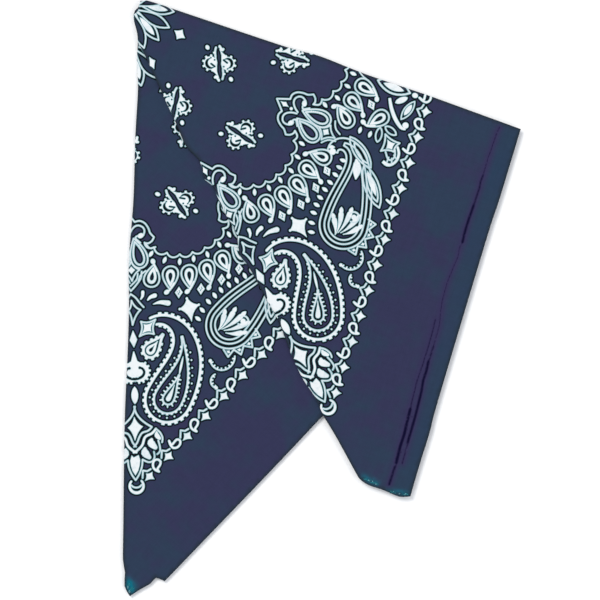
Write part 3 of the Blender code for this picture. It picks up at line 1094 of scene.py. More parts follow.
def curls(centre, degrees):
    # two round toothed commas either side of an S-shaped gap, with a dot at each end
    def at(points, side=1.0):
        return turned([(x * side, y * side) for x, y in points], centre, degrees, unit)
    for side in (-1.0, 1.0):
        head = at([(8.6, 0.3)], side)[0]
        teeth(at(arc((8.6, 0.3), 6.2, 115.0, -115.0, 16), side), 1.55, 3.0, 1.0, 0.56)
        disc(head, 4.6, 1, 18)
        fill(at([(1.0, -13.0), (4.2, -9.5), (8.0, -6.5), (8.5, 0.0), (8.0, 6.5), (5.0, 4.5), (2.4, -1.0),
                 (2.4, -8.0)], side))
        line(at([(1.7, -13.8), (0.4, -17.0)], side), 1.5)
        line(at([(1.8, -13.2), (4.0, -14.0)], side), 1.6)
        curve(at([(2.8, 3.4), (3.9, 8.0), (4.0, 12.5), (3.2, 15.8)], side), 1.15)
        teeth(at([(4.2, 8.6), (4.6, 12.8)], side), 1.1, 3.0, -1.0, 0.5)
        line(at([(-3.3, 13.0), (-0.3, 17.2)], side), 1.3)
        hollow = zip(at(arc((7.8, 0.3), 4.9, -125.0, 80.0, 6), side), (0.3, 0.75, 1.1, 1.2, 1.1, 0.8, 0.3))
        comma([(*place, radius) for place, radius in hollow], 0)
        line(at([(4.4, -3.2), (8.0, -0.4)], side), 1.6, 0)
        disc(at([(4.6, 3.4)], side)[0], 0.75, 0, 8)
        disc(at([(8.3, 5.6)], side)[0], 0.7, 0, 8)
        dot(at([(11.7, 15.9)], side)[0], 3.2, 2.5, degrees + 60.0)
    gap = [(0.0, -15.0), (-1.7, -9.8), (-2.0, -4.8), (-0.2, -0.6)]
    bend = at(gap + [(-x, -y) for x, y in gap[::-1]])
    curve(bend[:5], 1.5, 0, taper=(0.6, 1.1))
    curve(bend[3:], 1.5, 0, taper=(1.1, 0.6))


curls((98.6, 62.8), -67.9)
curls((69.7, 19.5), -16.9)
curls((117.5, 0.8), -84.9)
curls((48.7, 55.7), -0.9)

# the scalloped border and its two fleurs
scallops([(154.0, -10.3), (155.1, -1.6), (154.8, 7.2), (151.4, 14.9), (145.5, 22.6)], 0.31, 0.9)
scallops([(135.4, 56.4), (136.4, 65.8), (134.6, 74.2), (130.3, 82.1), (124.6, 88.8), (117.2, 93.6),
          (107.9, 96.4), (100.9, 98.2)], 0.31, 0.9)


def fleur(tip, degrees):
    def half(points, side):
        return turned([(x, y * side) for x, y in points], tip, degrees)
    for side in (-1.0, 1.0):
        line(half([(0.0, 0.0), (7.8, -5.1)], side))
        curve(half([(7.8, -5.1), (7.2, -8.4), (9.1, -11.7), (13.0, -13.8), (16.2, -14.6),
                    (19.3, -17.0)], side))
        curve(half([(19.3, -17.0), (22.0, -15.4), (23.4, -12.8), (23.1, -11.2)], side))
        curve(half([(23.1, -11.2), (26.2, -12.9), (27.0, -14.9), (26.3, -17.6)], side))
        curve(half([(17.3, -0.6), (13.8, -2.1), (11.1, -4.6), (10.4, -7.4), (12.0, -10.2), (14.6, -11.0),
                    (17.6, -10.0)], side))
        dot(half([(17.7, -8.2)], side)[0], 4.2, 3.2, degrees + 60.0 * side)
        curve(half([(17.6, -6.6), (19.0, -4.4), (22.6, -7.6)], side), 0.9)
        pointed, centre = half([(19.4, -3.3), (34.5, -6.4)], side)
        line(dropPath(pointed, centre, 5.8), 0.95, closed=True)
        line(dropPath(between(centre, pointed, 0.84), centre, 3.5, 24), 1.15, closed=True)
        beads(half([(24.0, -6.3), (28.0, -8.2), (32.0, -9.2)], side), 1.5, 0.4)
        sprout = [(42.7, 8.9 * side), (44.4, 6.2 * side), (46.6, 4.2 * side), (50.4, 2.9 * side)]
        curve(turned(sprout, tip, degrees - 2.0), 0.8)
    star(turned([(6.6, 0.0)], tip, degrees)[0], 3.3, 0.75, degrees, 1.7)
    disc(turned([(12.2, 0.0)], tip, degrees)[0], 1.0)
    tips = turned([(49.0, -0.5), (41.8, 5.8), (35.4, -0.6), (41.4, -6.2)], tip, degrees)
    line(starPath(tips, 0.55), 0.85, closed=True)
    star(turned([(41.4, -0.4)], tip, degrees)[0], 2.5, 0.85, degrees)


fleur((115.4, 31.4), 17.9)
fleur((77.5, 89.6), 45.0)
curve([(113.0, 114.6), (115.6, 118.3), (116.5, 124.6), (116.5, 129.7)])
line([(116.5, 129.7), (110.2, 128.0), (103.5, 124.2)])
curve([(111.9, 117.4), (114.1, 120.6), (114.2, 124.6), (114.0, 127.3)], 0.85)

# rice grains along both sides of the pears' row
for place, degrees in (
        ((160.0, 8.7), 15), ((155.7, 18.6), 28), ((148.7, 25.7), 36), ((141.2, 56.3), 18),
        ((141.0, 66.1), 20), ((139.5, 76.6), 28), ((134.2, 85.0), 44), ((128.2, 92.6), 48),
        ((119.5, 98.4), 70), ((109.5, 101.2), 80), ((161.6, 52.6), -14), ((172.2, 59.2), 4),
        ((171.1, 64.6), 12), ((169.9, 70.3), 20), ((167.9, 76.5), 20), ((165.9, 82.3), 20),
        ((164.3, 88.6), 16), ((163.5, 94.2), 14), ((163.1, 100.1), 6), ((163.8, 107.2), 4),
        ((165.5, 113.5), -4), ((161.3, -0.8), 8), ((177.3, 35.5), -90), ((184.8, 36.3), -84)):
    leaf(*turned([(-2.4, 0.0), (2.4, 0.0)], place, degrees), 1.15, fullness=0.75)

for centre, tip, ball in (
        ((170.1, 5.6), (181.4, 8.8), (182.2, 11.4)), ((165.6, 17.2), (174.9, 22.1), (176.2, 24.9)),
        ((166.7, 31.6), (157.3, 23.3), (155.1, 25.0)), ((188.9, 22.7), (181.3, 31.4), (177.8, 29.5)),
        ((158.6, 61.1), (148.2, 60.5), (145.7, 62.5)), ((149.3, 71.8), (159.2, 75.7), (161.5, 77.9)),
        ((145.6, 83.6), (155.5, 89.8), (156.5, 92.7)), ((138.5, 94.0), (147.1, 101.6), (146.7, 104.3)),
        ((129.2, 102.9), (136.6, 110.9), (135.9, 113.8)), ((121.8, 114.0), (116.1, 105.4), (114.1, 104.3))):
    pear(centre, tip, ball)

line([(165.2, -3.2), (169.1, -0.6), (172.0, 0.5)], 0.8)

for place in ((142.6, 108.6), (152.9, 97.0), (159.5, 83.0), (163.5, 69.4), (179.7, 16.3)):
    star(place, 3.9, 0.92, 48.0, 2.6)
    line(turned([(-1.2, -0.8), (0.2, -0.9), (0.5, 0.9), (1.3, 0.6)], place, 20.0), 0.6, 0)
    disc(turned([(-0.9, 0.7)], place, 20.0)[0], 0.4, 0, 6)

# the star and the strokes beside it
fill(starPath([(149.2, 107.5), (159.7, 105.5), (163.4, 117.7), (150.5, 117.1)], 0.44))
for place in ((159.3, 106.0), (151.0, 116.7), (149.8, 108.1)):
    disc(place, 0.75, 1, 10)
comma([(125.5, 129.5, 0.3), (125.0, 126.9, 0.8), (123.2, 124.6, 1.0)])
comma([(129.6, 126.8, 0.3), (129.6, 123.9, 1.0), (131.2, 120.9, 1.4)])
comma([(134.4, 126.2, 0.1), (137.2, 122.0, 1.1), (141.9, 118.8, 1.7)])
line(starPath([(121.3, 134.4), (130.4, 135.0), (133.3, 146.6), (124.3, 141.1)], 0.55), closed=True)
curve([(130.8, 132.1), (126.7, 131.7), (121.9, 130.9), (117.8, 131.4)])
line([(117.8, 131.4), (119.1, 137.7)])
curve([(117.6, 136.3), (120.4, 143.2), (127.9, 147.9)])

# the large toothed cone: band with teeth, body, beads, and the drop inside; each of its cones has a radius,
# a length, a hook, a tail and a bend
big = {
    "axis": ((186.9, 168.1), (184.2, 157.4)),
    "outer": (15.7, 73.3, -145.0),
    "body": (10.2, 45.0, -42.0, 0.04, 1.7),
    "inner": (4.0, 18.0, -6.0, 0.07, 1.0),
    "core": (1.6, 10.5, -8.0, 0.1, 1.0),
}
outer = cone(*big["axis"], *big["outer"])
body = cone(*big["axis"], *big["body"])
line(commaPath(outer, 0.7)[:-2], 1.55)
rim = commaPath(outer, 1.1)
teeth(rim[3:len(rim) // 2], 1.6, 4.4, share=0.62, top=0.75)
teeth(rim[len(rim) // 2:-1], 1.5, 3.9, share=0.6, top=0.75)
line(commaPath(body), 1.15, closed=True)
teeth(commaPath(body, 0.4)[3:-3], 0.85, 3.2, share=0.6)
beads(commaPath(body, 3.1)[5:-7], 5.4, 0.5)
inner = cone(*big["axis"], *big["inner"])
line(commaPath(inner), 1.0, closed=True)
teeth(commaPath(inner, 0.4)[2:-2], 1.8, 3.0, share=0.38, top=0.4)
comma(cone(*big["axis"], *big["core"]))
leaf(inner[0][:2], body[8][:2], 0.7)

# the star at its tip
tipStar = {"at": (142.5, 141.2), "degrees": 92.0}
line(starPath(starTips(tipStar["at"], 8.1, 6.4, tipStar["degrees"]), 0.5), closed=True)
star(tipStar["at"], 5.8, 0.42, tipStar["degrees"], 3.7)

# the small toothed drop
small = {
    "axis": ((154.5, 151.5), (154.7, 143.0)),
    "ring": (5.0, 14.0, -8.0, 0.08, 1.0),
    "white": (3.0, 8.0, -8.0, 0.1, 1.0),
    "hole": (1.3, 4.4, -8.0, 0.2, 1.0),
}
ring = cone(*small["axis"], *small["ring"])
line(commaPath(ring), 1.5, closed=True)
teeth(commaPath(ring, 0.5)[8:-8], 1.4, 4.0, share=0.6)
comma(cone(*small["axis"], *small["white"]))
comma(cone(*small["axis"], *small["hole"]), 0)

# on the corner's diagonal: a lens, two toothed curls about a point, and a leaf
fill(starPath([(136.2, 149.5), (142.4, 152.2), (144.4, 157.7), (138.9, 155.9)], 1.0))


def crest(points):
    return turned(points, (146.3, 160.1), 45.0, unit)


crestRing = arc((20.3, 4.5), 9.8, 155.0, -25.0, 18)
for side in (-1.0, 1.0):
    half = [(0.0, 0.3), (9.5, 3.0), (11.2, 5.6), *crestRing, (30.0, -0.3), (0.0, -0.3)]
    fill(crest([(x, y * side) for x, y in half]))
    teeth(crest([(x, y * side) for x, y in crestRing]), 1.3, 2.9, side, 0.58)
for side in (-1.0, 1.0):
    hook = (
        (16.0, 5.0, 0.9), (17.2, 7.8, 1.0), (20.6, 9.6, 1.05), (24.6, 7.8, 1.1), (26.8, 3.4, 1.1),
        (27.2, -0.6, 1.1))
    places = crest([(x, y * side) for x, y, _ in hook])
    fill(commaPath([(*place, radius) for place, (_, _, radius) in zip(places, hook)]), 0)
    disc(crest([(16.2, 5.2 * side)])[0], 1.15, 0, 10)
    teeth(crest([(x, y * side) for x, y in ((22.4, 6.0), (24.4, 3.6), (25.4, 0.4))]), 0.8, 1.9, side, 0.5)
leaf((163.1, 177.7), (171.5, 186.2), 2.3, fullness=0.7)

# the toothed twig: two arcs
for middle, radius, start, end, way in (
        ((196.8, 122.4), 8.6, -45.0, 125.0, 1.0), ((205.1, 136.1), 4.9, 205.0, 60.0, -1.0)):
    twig = arc(middle, radius, start, end, 14)
    line(twig, 0.9)
    teeth(twig, 1.6, 3.2, way, 0.36)
    disc(twig[-1], 1.1)

# the feathered cone: outlines one within another, feathers and a curl in its head, and a zigzag collar
plume = {
    "head": (185.6, 102.1), "toward": (185.2, 84.0), "radius": 15.6, "length": 72.0, "hook": -195.0,
    "tail": 0.15, "bend": 4.6}
quill = cone(*plume.values())
for inset, width in ((-1.2, 0.95), (2.1, 0.95), (5.0, 0.9)):
    insetCone(quill, inset, width)
neck = quill[9:15]
comma([(x, y, 0.4 + 2.3 * math.sin(math.pi * i / 5.0)) for i, (x, y, _) in enumerate(neck)])
disc(quill[0][:2], 2.2)
feathers = {
    "count": 5, "from": -30.0, "to": 42.0, "length": 14.5, "width": 1.7, "root": -11.0, "swell": 0.35,
    "base": 4.5, "tip": 5.0}
axis = aim(plume["head"], plume["toward"])
root = turned([(feathers["root"], 0.0)], plume["head"], axis)[0]
for k in range(feathers["count"]):
    share = k / (feathers["count"] - 1.0)
    degrees = axis + feathers["from"] + (feathers["to"] - feathers["from"]) * share
    reach = feathers["length"] * (1.0 + feathers["swell"] * math.sin(math.pi * share))
    base, head, ahead = turned(
        [(feathers["base"], 0.0), (reach, 0.0), (reach + feathers["tip"], 0.0)], root, degrees)
    comma(cone(head, base, feathers["width"], reach - 4.0, 24.0, 0.12, 1.2, 12))
    leaf(head, ahead, feathers["width"] * 0.8)
curl = {"at": (7.0, 5.4), "radius": 3.7, "dot": 1.7}
curlAt = turned([curl["at"]], plume["head"], axis)[0]
curve(arc(curlAt, curl["radius"], axis + 200.0, axis - 70.0, 12), 1.0)
disc(curlAt, curl["dot"])
collar = {"count": 9, "from": 62.0, "step": 11.5, "low": 2.2, "high": 6.8, "starsAt": 3.4}


def onCollar(k, height):
    degrees = axis + collar["from"] + k * collar["step"]
    return turned([(plume["radius"] + height, 0.0)], plume["head"], degrees)[0]


line([onCollar(k, collar["high" if k % 2 else "low"]) for k in range(collar["count"])], 0.95)
for k in range(1, collar["count"], 2):
    star(onCollar(k, collar["starsAt"]), 1.6, 0.6, axis + k * collar["step"], 1.1)
# its wing: two leaves along the neck, each with a smaller one inside
for base, tip, half in (((192.1, 58.5), (172.1, 42.0), 4.2), ((205.9, 83.5), (187.1, 57.8), 5.0)):
    leafLine(base, tip, half, fullness=0.7)
    leafLine(between(base, tip, 0.14), between(base, tip, 0.8), half * 0.55, fullness=0.7)
leaf((201.3, 76.2), (190.4, 61.2), 1.7)

# the flower by the folded edge
leafLine((179.1, -1.4), (203.2, 0.6), 4.9, 1.1)
leaf((183.6, -0.7), (198.6, 0.5), 2.3)
dot((207.0, 1.2), 4.0, 3.4, 0.0)
leaf((195.3, 10.1), (202.5, 4.2), 1.9, fullness=0.55)
leafLine((202.5, 20.0), (208.0, 5.3), 2.7, 0.7)
leaf((203.7, 16.6), (206.8, 8.1), 1.6, fullness=0.7)
comma([(190.6, 8.2, 0.8), (193.9, 14.7, 1.1), (198.7, 21.0, 1.2), (203.9, 25.4, 1.0), (207.0, 25.9, 0.6)])
disc((206.7, 23.2), 2.1)
leafLine((190.3, 29.7), (191.2, 39.9), 2.1, 0.85, fullness=0.6)
leafLine((193.5, 28.0), (202.3, 31.4), 2.1, 0.85, fullness=0.6)
line(starPath([(195.0, 33.1), (206.4, 36.2), (204.3, 43.1), (195.4, 45.2)], 0.6), closed=True)
fill(starPath([(197.6, 36.4), (203.4, 37.3), (202.6, 42.0), (198.5, 42.7)], 0.6))
comma([(198.9, 51.8, 1.0), (202.2, 53.1, 1.1), (205.5, 52.0, 0.8), (207.9, 48.2, 0.8), (208.0, 43.4, 0.8),
       (205.9, 39.4, 0.7)])
curve([(198.7, 44.8), (201.5, 48.8), (204.1, 49.3), (205.8, 46.0), (204.6, 41.8)], 1.0)
for start, end in (
        ((201.7, 51.8), (201.9, 47.9)), ((205.3, 51.7), (204.2, 48.0)), ((207.9, 47.9), (205.0, 45.4))):
    line([start, end], 0.8)

# the corner's lotus, alike on both sides of the diagonal
lotusShift = 15.2


def bothSides(points):
    return [points, [(v - lotusShift, u + lotusShift, *rest) for u, v, *rest in points]]


def bothCurves(points, width=lineWidth):
    for path in bothSides(points):
        curve(path, width)


bothCurves([(172.4, 188.0), (176.2, 190.2), (181.2, 191.2), (186.7, 190.9), (191.6, 189.9)], 1.05)
bothCurves([
    (191.6, 189.9), (191.5, 193.4), (189.4, 197.3), (190.0, 200.9), (191.5, 204.5), (191.9, 208.0)], 1.05)
fill(starPath([(177.5, 193.2), (186.6, 193.9), (189.3, 204.5), (179.4, 201.5)], 0.6))
bothCurves([
    (194.7, 189.0), (194.8, 193.0), (193.0, 198.1), (195.4, 203.4), (195.3, 208.8), (194.5, 211.0)], 1.45)
bothCurves([(194.7, 189.0), (198.6, 188.9), (202.5, 190.4), (204.5, 192.9)])
bothCurves([(201.7, 193.8), (205.1, 195.8), (207.8, 198.4), (207.7, 201.1)])
bothCurves([(204.8, 201.4), (207.6, 203.6), (208.6, 206.7), (206.8, 209.2), (202.6, 210.5)])
bothCurves([(202.6, 210.5), (205.7, 214.4), (208.0, 219.6), (208.9, 224.1)])
for nodes in (
        [(196.3, 189.9, 0.3), (198.3, 191.8, 1.5), (201.3, 192.1, 1.0)],
        [(197.3, 195.5, 0.4), (198.8, 198.2, 2.4), (203.5, 198.6, 1.4)],
        [(198.0, 203.2, 0.4), (200.4, 205.9, 2.5), (205.1, 206.3, 1.3)]):
    for path in bothSides(nodes):
        comma(path)
petal = [(197.0, 213.7), (198.4, 210.2), (201.6, 212.0), (203.9, 215.0), (205.6, 218.1), (206.4, 221.7)]
fill(petal + [(v - lotusShift, u + lotusShift) for u, v in petal[-2:0:-1]])
moon = (212.1, 226.7)
for start in (-88.0, 178.0):
    line(arc(moon, 4.9, start, 45.0, 9), 1.6, taper=(0.75, 1.2))
line(arc((moon[0] - 2.4, moon[1] - 2.4), 4.6, -8.0, 98.0, 8), 1.0)


# the chain: stars with a bent bracket, and curls that turn one way and the other
def chainStar(place):
    fill(starPath(turned([(0.6, -4.7), (5.4, 0.8), (-2.0, 6.0), (-4.2, -0.8)], place, -16.9, unit), 0.55))
    line(turned([(-2.2, -6.6), (-4.4, -3.4), (-8.6, -2.2), (-5.6, 4.6)], place, -16.9, unit), 1.0)


def chainCurl(place, kind):
    loops = (
        [(5.4, 5.9), (2.2, 6.0), (-1.4, 4.6), (-3.7, 1.0), (-3.6, -2.4), (-1.1, -4.4), (2.4, -3.6),
         (3.4, 0.0), (2.8, 4.2), (5.4, 5.9)],
        [(-7.4, 0.0), (-4.3, 3.0), (-0.3, 4.6), (3.1, 2.4), (4.1, -1.8), (2.2, -4.8), (-0.9, -4.3),
         (-2.1, -0.8), (-3.4, 2.6), (-7.4, 0.0)])
    curve(turned(loops[kind], place, -16.9, unit), 1.3)


chain = {"first": (214.3, 215.6), "step": (0.285, -18.72), "stars": 15, "curlAt": (-2.1, -9.35)}
for k in range(1, chain["stars"]):
    place = (chain["first"][0] + chain["step"][0] * (k - 1), chain["first"][1] + chain["step"][1] * (k - 1))
    chainStar(place)
    chainCurl((place[0] + chain["curlAt"][0], place[1] + chain["curlAt"][1]), (k + 1) % 2)
print("shapes in the print:", len(art))


# the two panels

def clothToWorld(middle, degrees, size):
    c = math.cos(math.radians(degrees)) * size
    s = math.sin(math.radians(degrees)) * size
    return lambda points: [(middle[0] + u * c + v * s, middle[1] + u * s - v * c) for u, v in points]


def worldToCloth(middle, degrees, size):
    c = math.cos(math.radians(degrees)) / size
    s = math.sin(math.radians(degrees)) / size
    def back(points):
        x = points[:, 0] - middle[0]
        y = points[:, 1] - middle[1]
        return np.column_stack((x * c + y * s, x * s - y * c))
    return back


printPlaces = {
    "right": ((-132.6, 202.7), -16.91, 1.0),
    "left": ((-132.9, 179.4), -42.12, 0.997),
    # the left stretch is pressed a little askew: places on the flat cloth, and each one's pull in x and y
    "leftPulls": (
        ((0.0, 0.0), (0.2, -2.6)), ((212.8, 227.0), (-1.7, -1.1)), ((149.3, 71.8), (1.3, 1.3)),
        ((146.3, 160.1), (0.4, -0.1)), ((216.1, 122.4), (-1.4, -1.0)), ((48.7, 55.7), (-6.8, -1.9)),
        ((98.6, 62.8), (1.4, 0.1)), ((121.8, 114.0), (-0.3, -1.0)), ((215.5, 178.8), (-0.1, 0.6)),
        ((69.7, 19.5), (5.1, -0.4)), ((172.4, 188.0), (0.4, -0.9)), ((156.5, 111.9), (0.1, 0.2)),
        ((179.4, 87.2), (-1.7, -0.4)), ((208.7, 95.0), (2.4, 3.2))),
    "pullReach": 32.0,
}


def leftPlace(points):
    moved = []
    for (u, v), (x, y) in zip(points, clothToWorld(*printPlaces["left"])(points)):
        for (pullU, pullV), (pullX, pullY) in printPlaces["leftPulls"]:
            share = math.exp(-((u - pullU) ** 2 + (v - pullV) ** 2) / (2.0 * printPlaces["pullReach"] ** 2))
            x += pullX * share
            y += pullY * share
        moved.append((x, y))
    return moved


rightOutline, rightTurns = outlineOf(
    ("topFold", "rolled", 5.0), ("hemmedSide", "wrapped", 5.0), ("cornerEnd", "raw", 2.5),
    ("legFold", "doubled", 3.0), ("pleatFold", "doubled", 3.0), ("apexFold", "doubled", 2.5))
leftOutline, leftTurns = outlineOf(
    ("leftFold", "rolled", 4.0), ("tuckedApex", "raw", 3.0), ("tuckedFold", "raw", 9.0),
    ("tuckedSelvage", "raw", 9.0), ("selvage", "raw", 5.0), ("tipEnd", "raw", 2.5))

rightPlace = clothToWorld(*printPlaces["right"])
rightShapes = [(ink, rightPlace(points)) for ink, points in art]
leftShapes = [(ink, leftPlace(points)) for ink, points in art]
onRightCloth = worldToCloth(*printPlaces["right"])
onLeftCloth = worldToCloth(*printPlaces["left"])
rightCloth, rightPrint = printedSheet(
    "rightPanel", rightOutline, rightTurns, heightRight, rightShapes, onRightCloth, seamNet())
leftCloth, leftPrint = printedSheet(
    "leftPanel", leftOutline, leftTurns, heightLeft, leftShapes, onLeftCloth)


# the folded layers beneath, and the hem turned under the side

layerLook = {
    "insets": (1.5, 0.95, 2.1, 2.25),
    "wander": (0.5, 0.35, 0.15, 0.15),
    "waves": (7, 5, 9, 4),
    "rounding": 0.32,
    "profile": ((0.0, 1.0), (0.22, 0.3), (0.5, 0.0), (0.78, 0.3), (1.0, 1.0)),  # height, and rounding inwards
    "topRise": 1.3,     # outside the left wedge the layers stand this much higher
    "riseFrom": 0.9,
    "riseOver": 3.0,
    "capGrid": (40.0, 11.0),
}


def foldedLayers():
    outline, _ = outlineOf(
        ("topFold", "raw", 6.0), ("hemmedSide", "raw", 6.0), ("cornerEnd", "raw", 4.0),
        ("legFold", "raw", 4.0), ("selvage", "raw", 6.0), ("tipEnd", "raw", 4.0), ("leftFold", "raw", 5.0),
        ("apexFold", "raw", 4.0))

    def top(points):
        gap, _, _ = nearOutline(points, leftOutline, leftTurns)
        rise = smoothStep((-gap - layerLook["riseFrom"]) / layerLook["riseOver"])
        return levels["hiddenTop"] + layerLook["topRise"] * rise

    around = np.arange(len(outline)) / len(outline) * tau
    inwards = -mitres(outline, 2.0)
    count = len(outline)
    rows = []
    for ply in range(4):
        base = ply * levels["hiddenPly"]
        wander = layerLook["wander"][ply] * np.sin(around * layerLook["waves"][ply] + ply)
        for share, extra in layerLook["profile"]:
            inset = layerLook["insets"][ply] + wander + layerLook["rounding"] * extra
            flat = outline + inwards * inset[:, None]
            if ply < 3:
                height = np.full(count, base + share * levels["hiddenPly"])
            else:
                height = levels["hiddenTop"] + share * (top(flat) - levels["hiddenTop"])
            rows.append(np.column_stack((flat, height)))
    places = [place for row in rows for place in row]
    faces = []
    for first in range(0, len(places) - count, count):
        faces += [(first + count + i, first + count + j, first + j, first + i) for i, j in ringEdges(count)]
    low, high = layerLook["capGrid"]
    rim = rows[0][:, :2]
    made = capRing(rim, range(count), gridInside(rim, low, 3.0), lambda points: np.zeros(len(points)), places)
    faces += [face[::-1] for face in made]
    rim = rows[-1][:, :2]
    rimIndex = range(len(rows) * count - count, len(rows) * count)
    faces += capRing(rim, rimIndex, gridInside(rim, high, 3.0), top, places)
    flat = onRightCloth(np.array(places)[:, :2])
    return meshFrom("foldedLayers", places, faces, flat, finishes["turned"])


hemLook = {"startsAt": 2.4, "endsAt": 3.0, "outside": 1.9, "extra": 0.8, "ripple": 0.08, "clear": 0.1}


def hemStrip():
    # the allowance turned under, a flat strip with soft edges
    side = np.array(spline(fold["hemmedSide"], 6.0))
    runs = np.gradient(side, axis=0)
    runs /= np.hypot(*runs.T)[:, None]
    across = np.column_stack((runs[:, 1], -runs[:, 0]))
    side[0] += runs[0] * hemLook["startsAt"]
    side[-1] -= runs[-1] * hemLook["endsAt"]
    outer = side + across * hemLook["outside"]
    inner = side + across * (levels["hemWidth"] + hemLook["extra"])
    topWay = np.array(fold["topFold"][-1]) - np.array(fold["topFold"][-2])
    endWay = np.array(fold["cornerEnd"][2]) - np.array(fold["cornerEnd"][0])
    inner[0] = outer[0] - topWay / math.hypot(*topWay) * levels["hemWidth"]
    inner[-1] = outer[-1] + endWay / math.hypot(*endWay) * levels["hemWidth"]
    outline = np.array(list(outer) + list(inner[::-1]))
    turns = np.array([edges["raw"]] * len(outline))

    def heights(points):
        ripple = hemLook["ripple"] * np.sin(points[:, 1] / 9.0)
        return levels["hemTop"] + ripple - hemLook["clear"], np.full(len(points), levels["cloth"])

    cloth, _ = printedSheet("sideHem", outline, turns, heights, [], onRightCloth)
    return cloth


layers = foldedLayers()
hem = hemStrip()
print("layers and hem made")


# stitches and loose threads, grown along their paths

sewing = {
    "pitch": 2.7, "length": 2.3, "sink": 0.05, "jitter": 0.16, "seed": 7,
    "thread": 0.11,             # radius, then the lengths of loose ones and the share for pale ones
    "loose": (1.2, 3.0),
    "paleShare": 0.6,
    "bend": 0.5,                # of a loose thread, and its lean in degrees and lift
    "lean": 24.0,
    "lift": (0.06, 0.3),
    "vary": (0.88, 1.1),        # shortest and longest stitch
}


def growTree(name, inputs):
    # an empty tree with a mesh in and out and named inputs: its inputs, and functions to add a node and end
    tree = bpy.data.node_groups.new(name, "GeometryNodeTree")
    tree.interface.new_socket("Geometry", in_out="INPUT", socket_type="NodeSocketGeometry")
    tree.interface.new_socket("Geometry", in_out="OUTPUT", socket_type="NodeSocketGeometry")
    for label, kind in inputs:
        tree.interface.new_socket(label, in_out="INPUT", socket_type="NodeSocket" + kind)
    entry = tree.nodes.new("NodeGroupInput")
    leave = tree.nodes.new("NodeGroupOutput")

    def add(kind, settings, links, output=0):
        node = tree.nodes.new(kind)
        for key, value in settings.items():
            setattr(node, key, value)
        for key, value in links.items():
            if isinstance(value, bpy.types.NodeSocket):
                tree.links.new(value, node.inputs[key])
            else:
                node.inputs[key].default_value = value
        return node.outputs[output]

    def end(socket):
        tree.links.new(socket, leave.inputs[0])
        return tree

    return entry.outputs, add, end


def stitchTree():
    given, add, end = growTree("stitches", (
        ("Pitch", "Float"), ("Length", "Float"), ("Radius", "Float"), ("Jitter", "Float"), ("Seed", "Int"),
        ("Finish", "Material")))
    way = add("GeometryNodeMeshToCurve", {}, {0: given["Geometry"]})
    way = add("GeometryNodeResampleCurve", {"mode": "LENGTH"}, {"Curve": way, "Length": given["Pitch"]})
    spots = add("GeometryNodeCurveToPoints", {"mode": "EVALUATED"}, {"Curve": way})
    turn = add(
        "FunctionNodeAlignRotationToVector", {"axis": "X"}, {"Vector": spots.node.outputs["Tangent"]})
    bead = add("GeometryNodeMeshUVSphere", {}, {"Segments": 8, "Rings": 6, "Radius": 0.5})
    half = add("ShaderNodeMath", {"operation": "MULTIPLY"}, {0: given["Radius"], 1: 2.0})
    low, high = sewing["vary"]
    vary = add("FunctionNodeRandomValue", {"data_type": "FLOAT"}, {2: low, 3: high, "Seed": given["Seed"]}, 1)
    long = add("ShaderNodeMath", {"operation": "MULTIPLY"}, {0: given["Length"], 1: vary})
    size = add("ShaderNodeCombineXYZ", {}, {0: long, 1: half, 2: half})
    nudge = add("FunctionNodeRandomValue", {"data_type": "FLOAT_VECTOR"}, {
        0: (-1.0, -1.0, 0.0), 1: (1.0, 1.0, 0.0), "Seed": given["Seed"]})
    nudge = add("ShaderNodeVectorMath", {"operation": "SCALE"}, {0: nudge, "Scale": given["Jitter"]})
    spots = add("GeometryNodeSetPosition", {}, {"Geometry": spots, "Offset": nudge})
    grown = add("GeometryNodeInstanceOnPoints", {}, {
        "Points": spots, "Instance": bead, "Rotation": turn, "Scale": size})
    grown = add("GeometryNodeRealizeInstances", {}, {0: grown})
    grown = add("GeometryNodeSetShadeSmooth", {}, {0: grown})
    return end(add("GeometryNodeSetMaterial", {}, {"Geometry": grown, "Material": given["Finish"]}))


def threadTree():
    given, add, end = growTree("loose threads", (("Radius", "Float"), ("Finish", "Material")))
    way = add("GeometryNodeMeshToCurve", {}, {0: given["Geometry"]})
    way = add("GeometryNodeCurveSplineType", {"spline_type": "CATMULL_ROM"}, {"Curve": way})
    way = add("GeometryNodeResampleCurve", {"mode": "COUNT"}, {"Curve": way, "Count": 9})
    ring = add("GeometryNodeCurvePrimitiveCircle", {}, {"Resolution": 6, "Radius": given["Radius"]})
    grown = add("GeometryNodeCurveToMesh", {}, {"Curve": way, "Profile Curve": ring, "Fill Caps": True})
    grown = add("GeometryNodeRealizeInstances", {}, {0: grown})
    return end(add("GeometryNodeSetMaterial", {}, {"Geometry": grown, "Material": given["Finish"]}))


def grow(name, paths, tree, settings):
    # run a tree over paths, given as lists of places in millimetres, and keep the mesh that it makes
    places = []
    edgesIn = []
    for path in paths:
        edgesIn += [(len(places) + i, len(places) + i + 1) for i in range(len(path) - 1)]
        places += [tuple(np.array(place) * mm) for place in path]
    mesh = bpy.data.meshes.new(name)
    mesh.from_pydata(places, edgesIn, [])
    piece = linked(name, mesh)
    modifier = piece.modifiers.new(name, "NODES")
    modifier.node_group = tree
    for item in tree.interface.items_tree:
        if item.in_out == "INPUT" and item.name in settings:
            modifier[item.identifier] = settings[item.name]
    made = bpy.data.meshes.new_from_object(piece.evaluated_get(bpy.context.evaluated_depsgraph_get()))
    piece.modifiers.remove(modifier)
    piece.data = made
    return piece


def onRight(points, rise):
    flat = np.array(points)
    return [(x, y, z + rise) for (x, y), z in zip(flat, heightRight(flat)[0])]


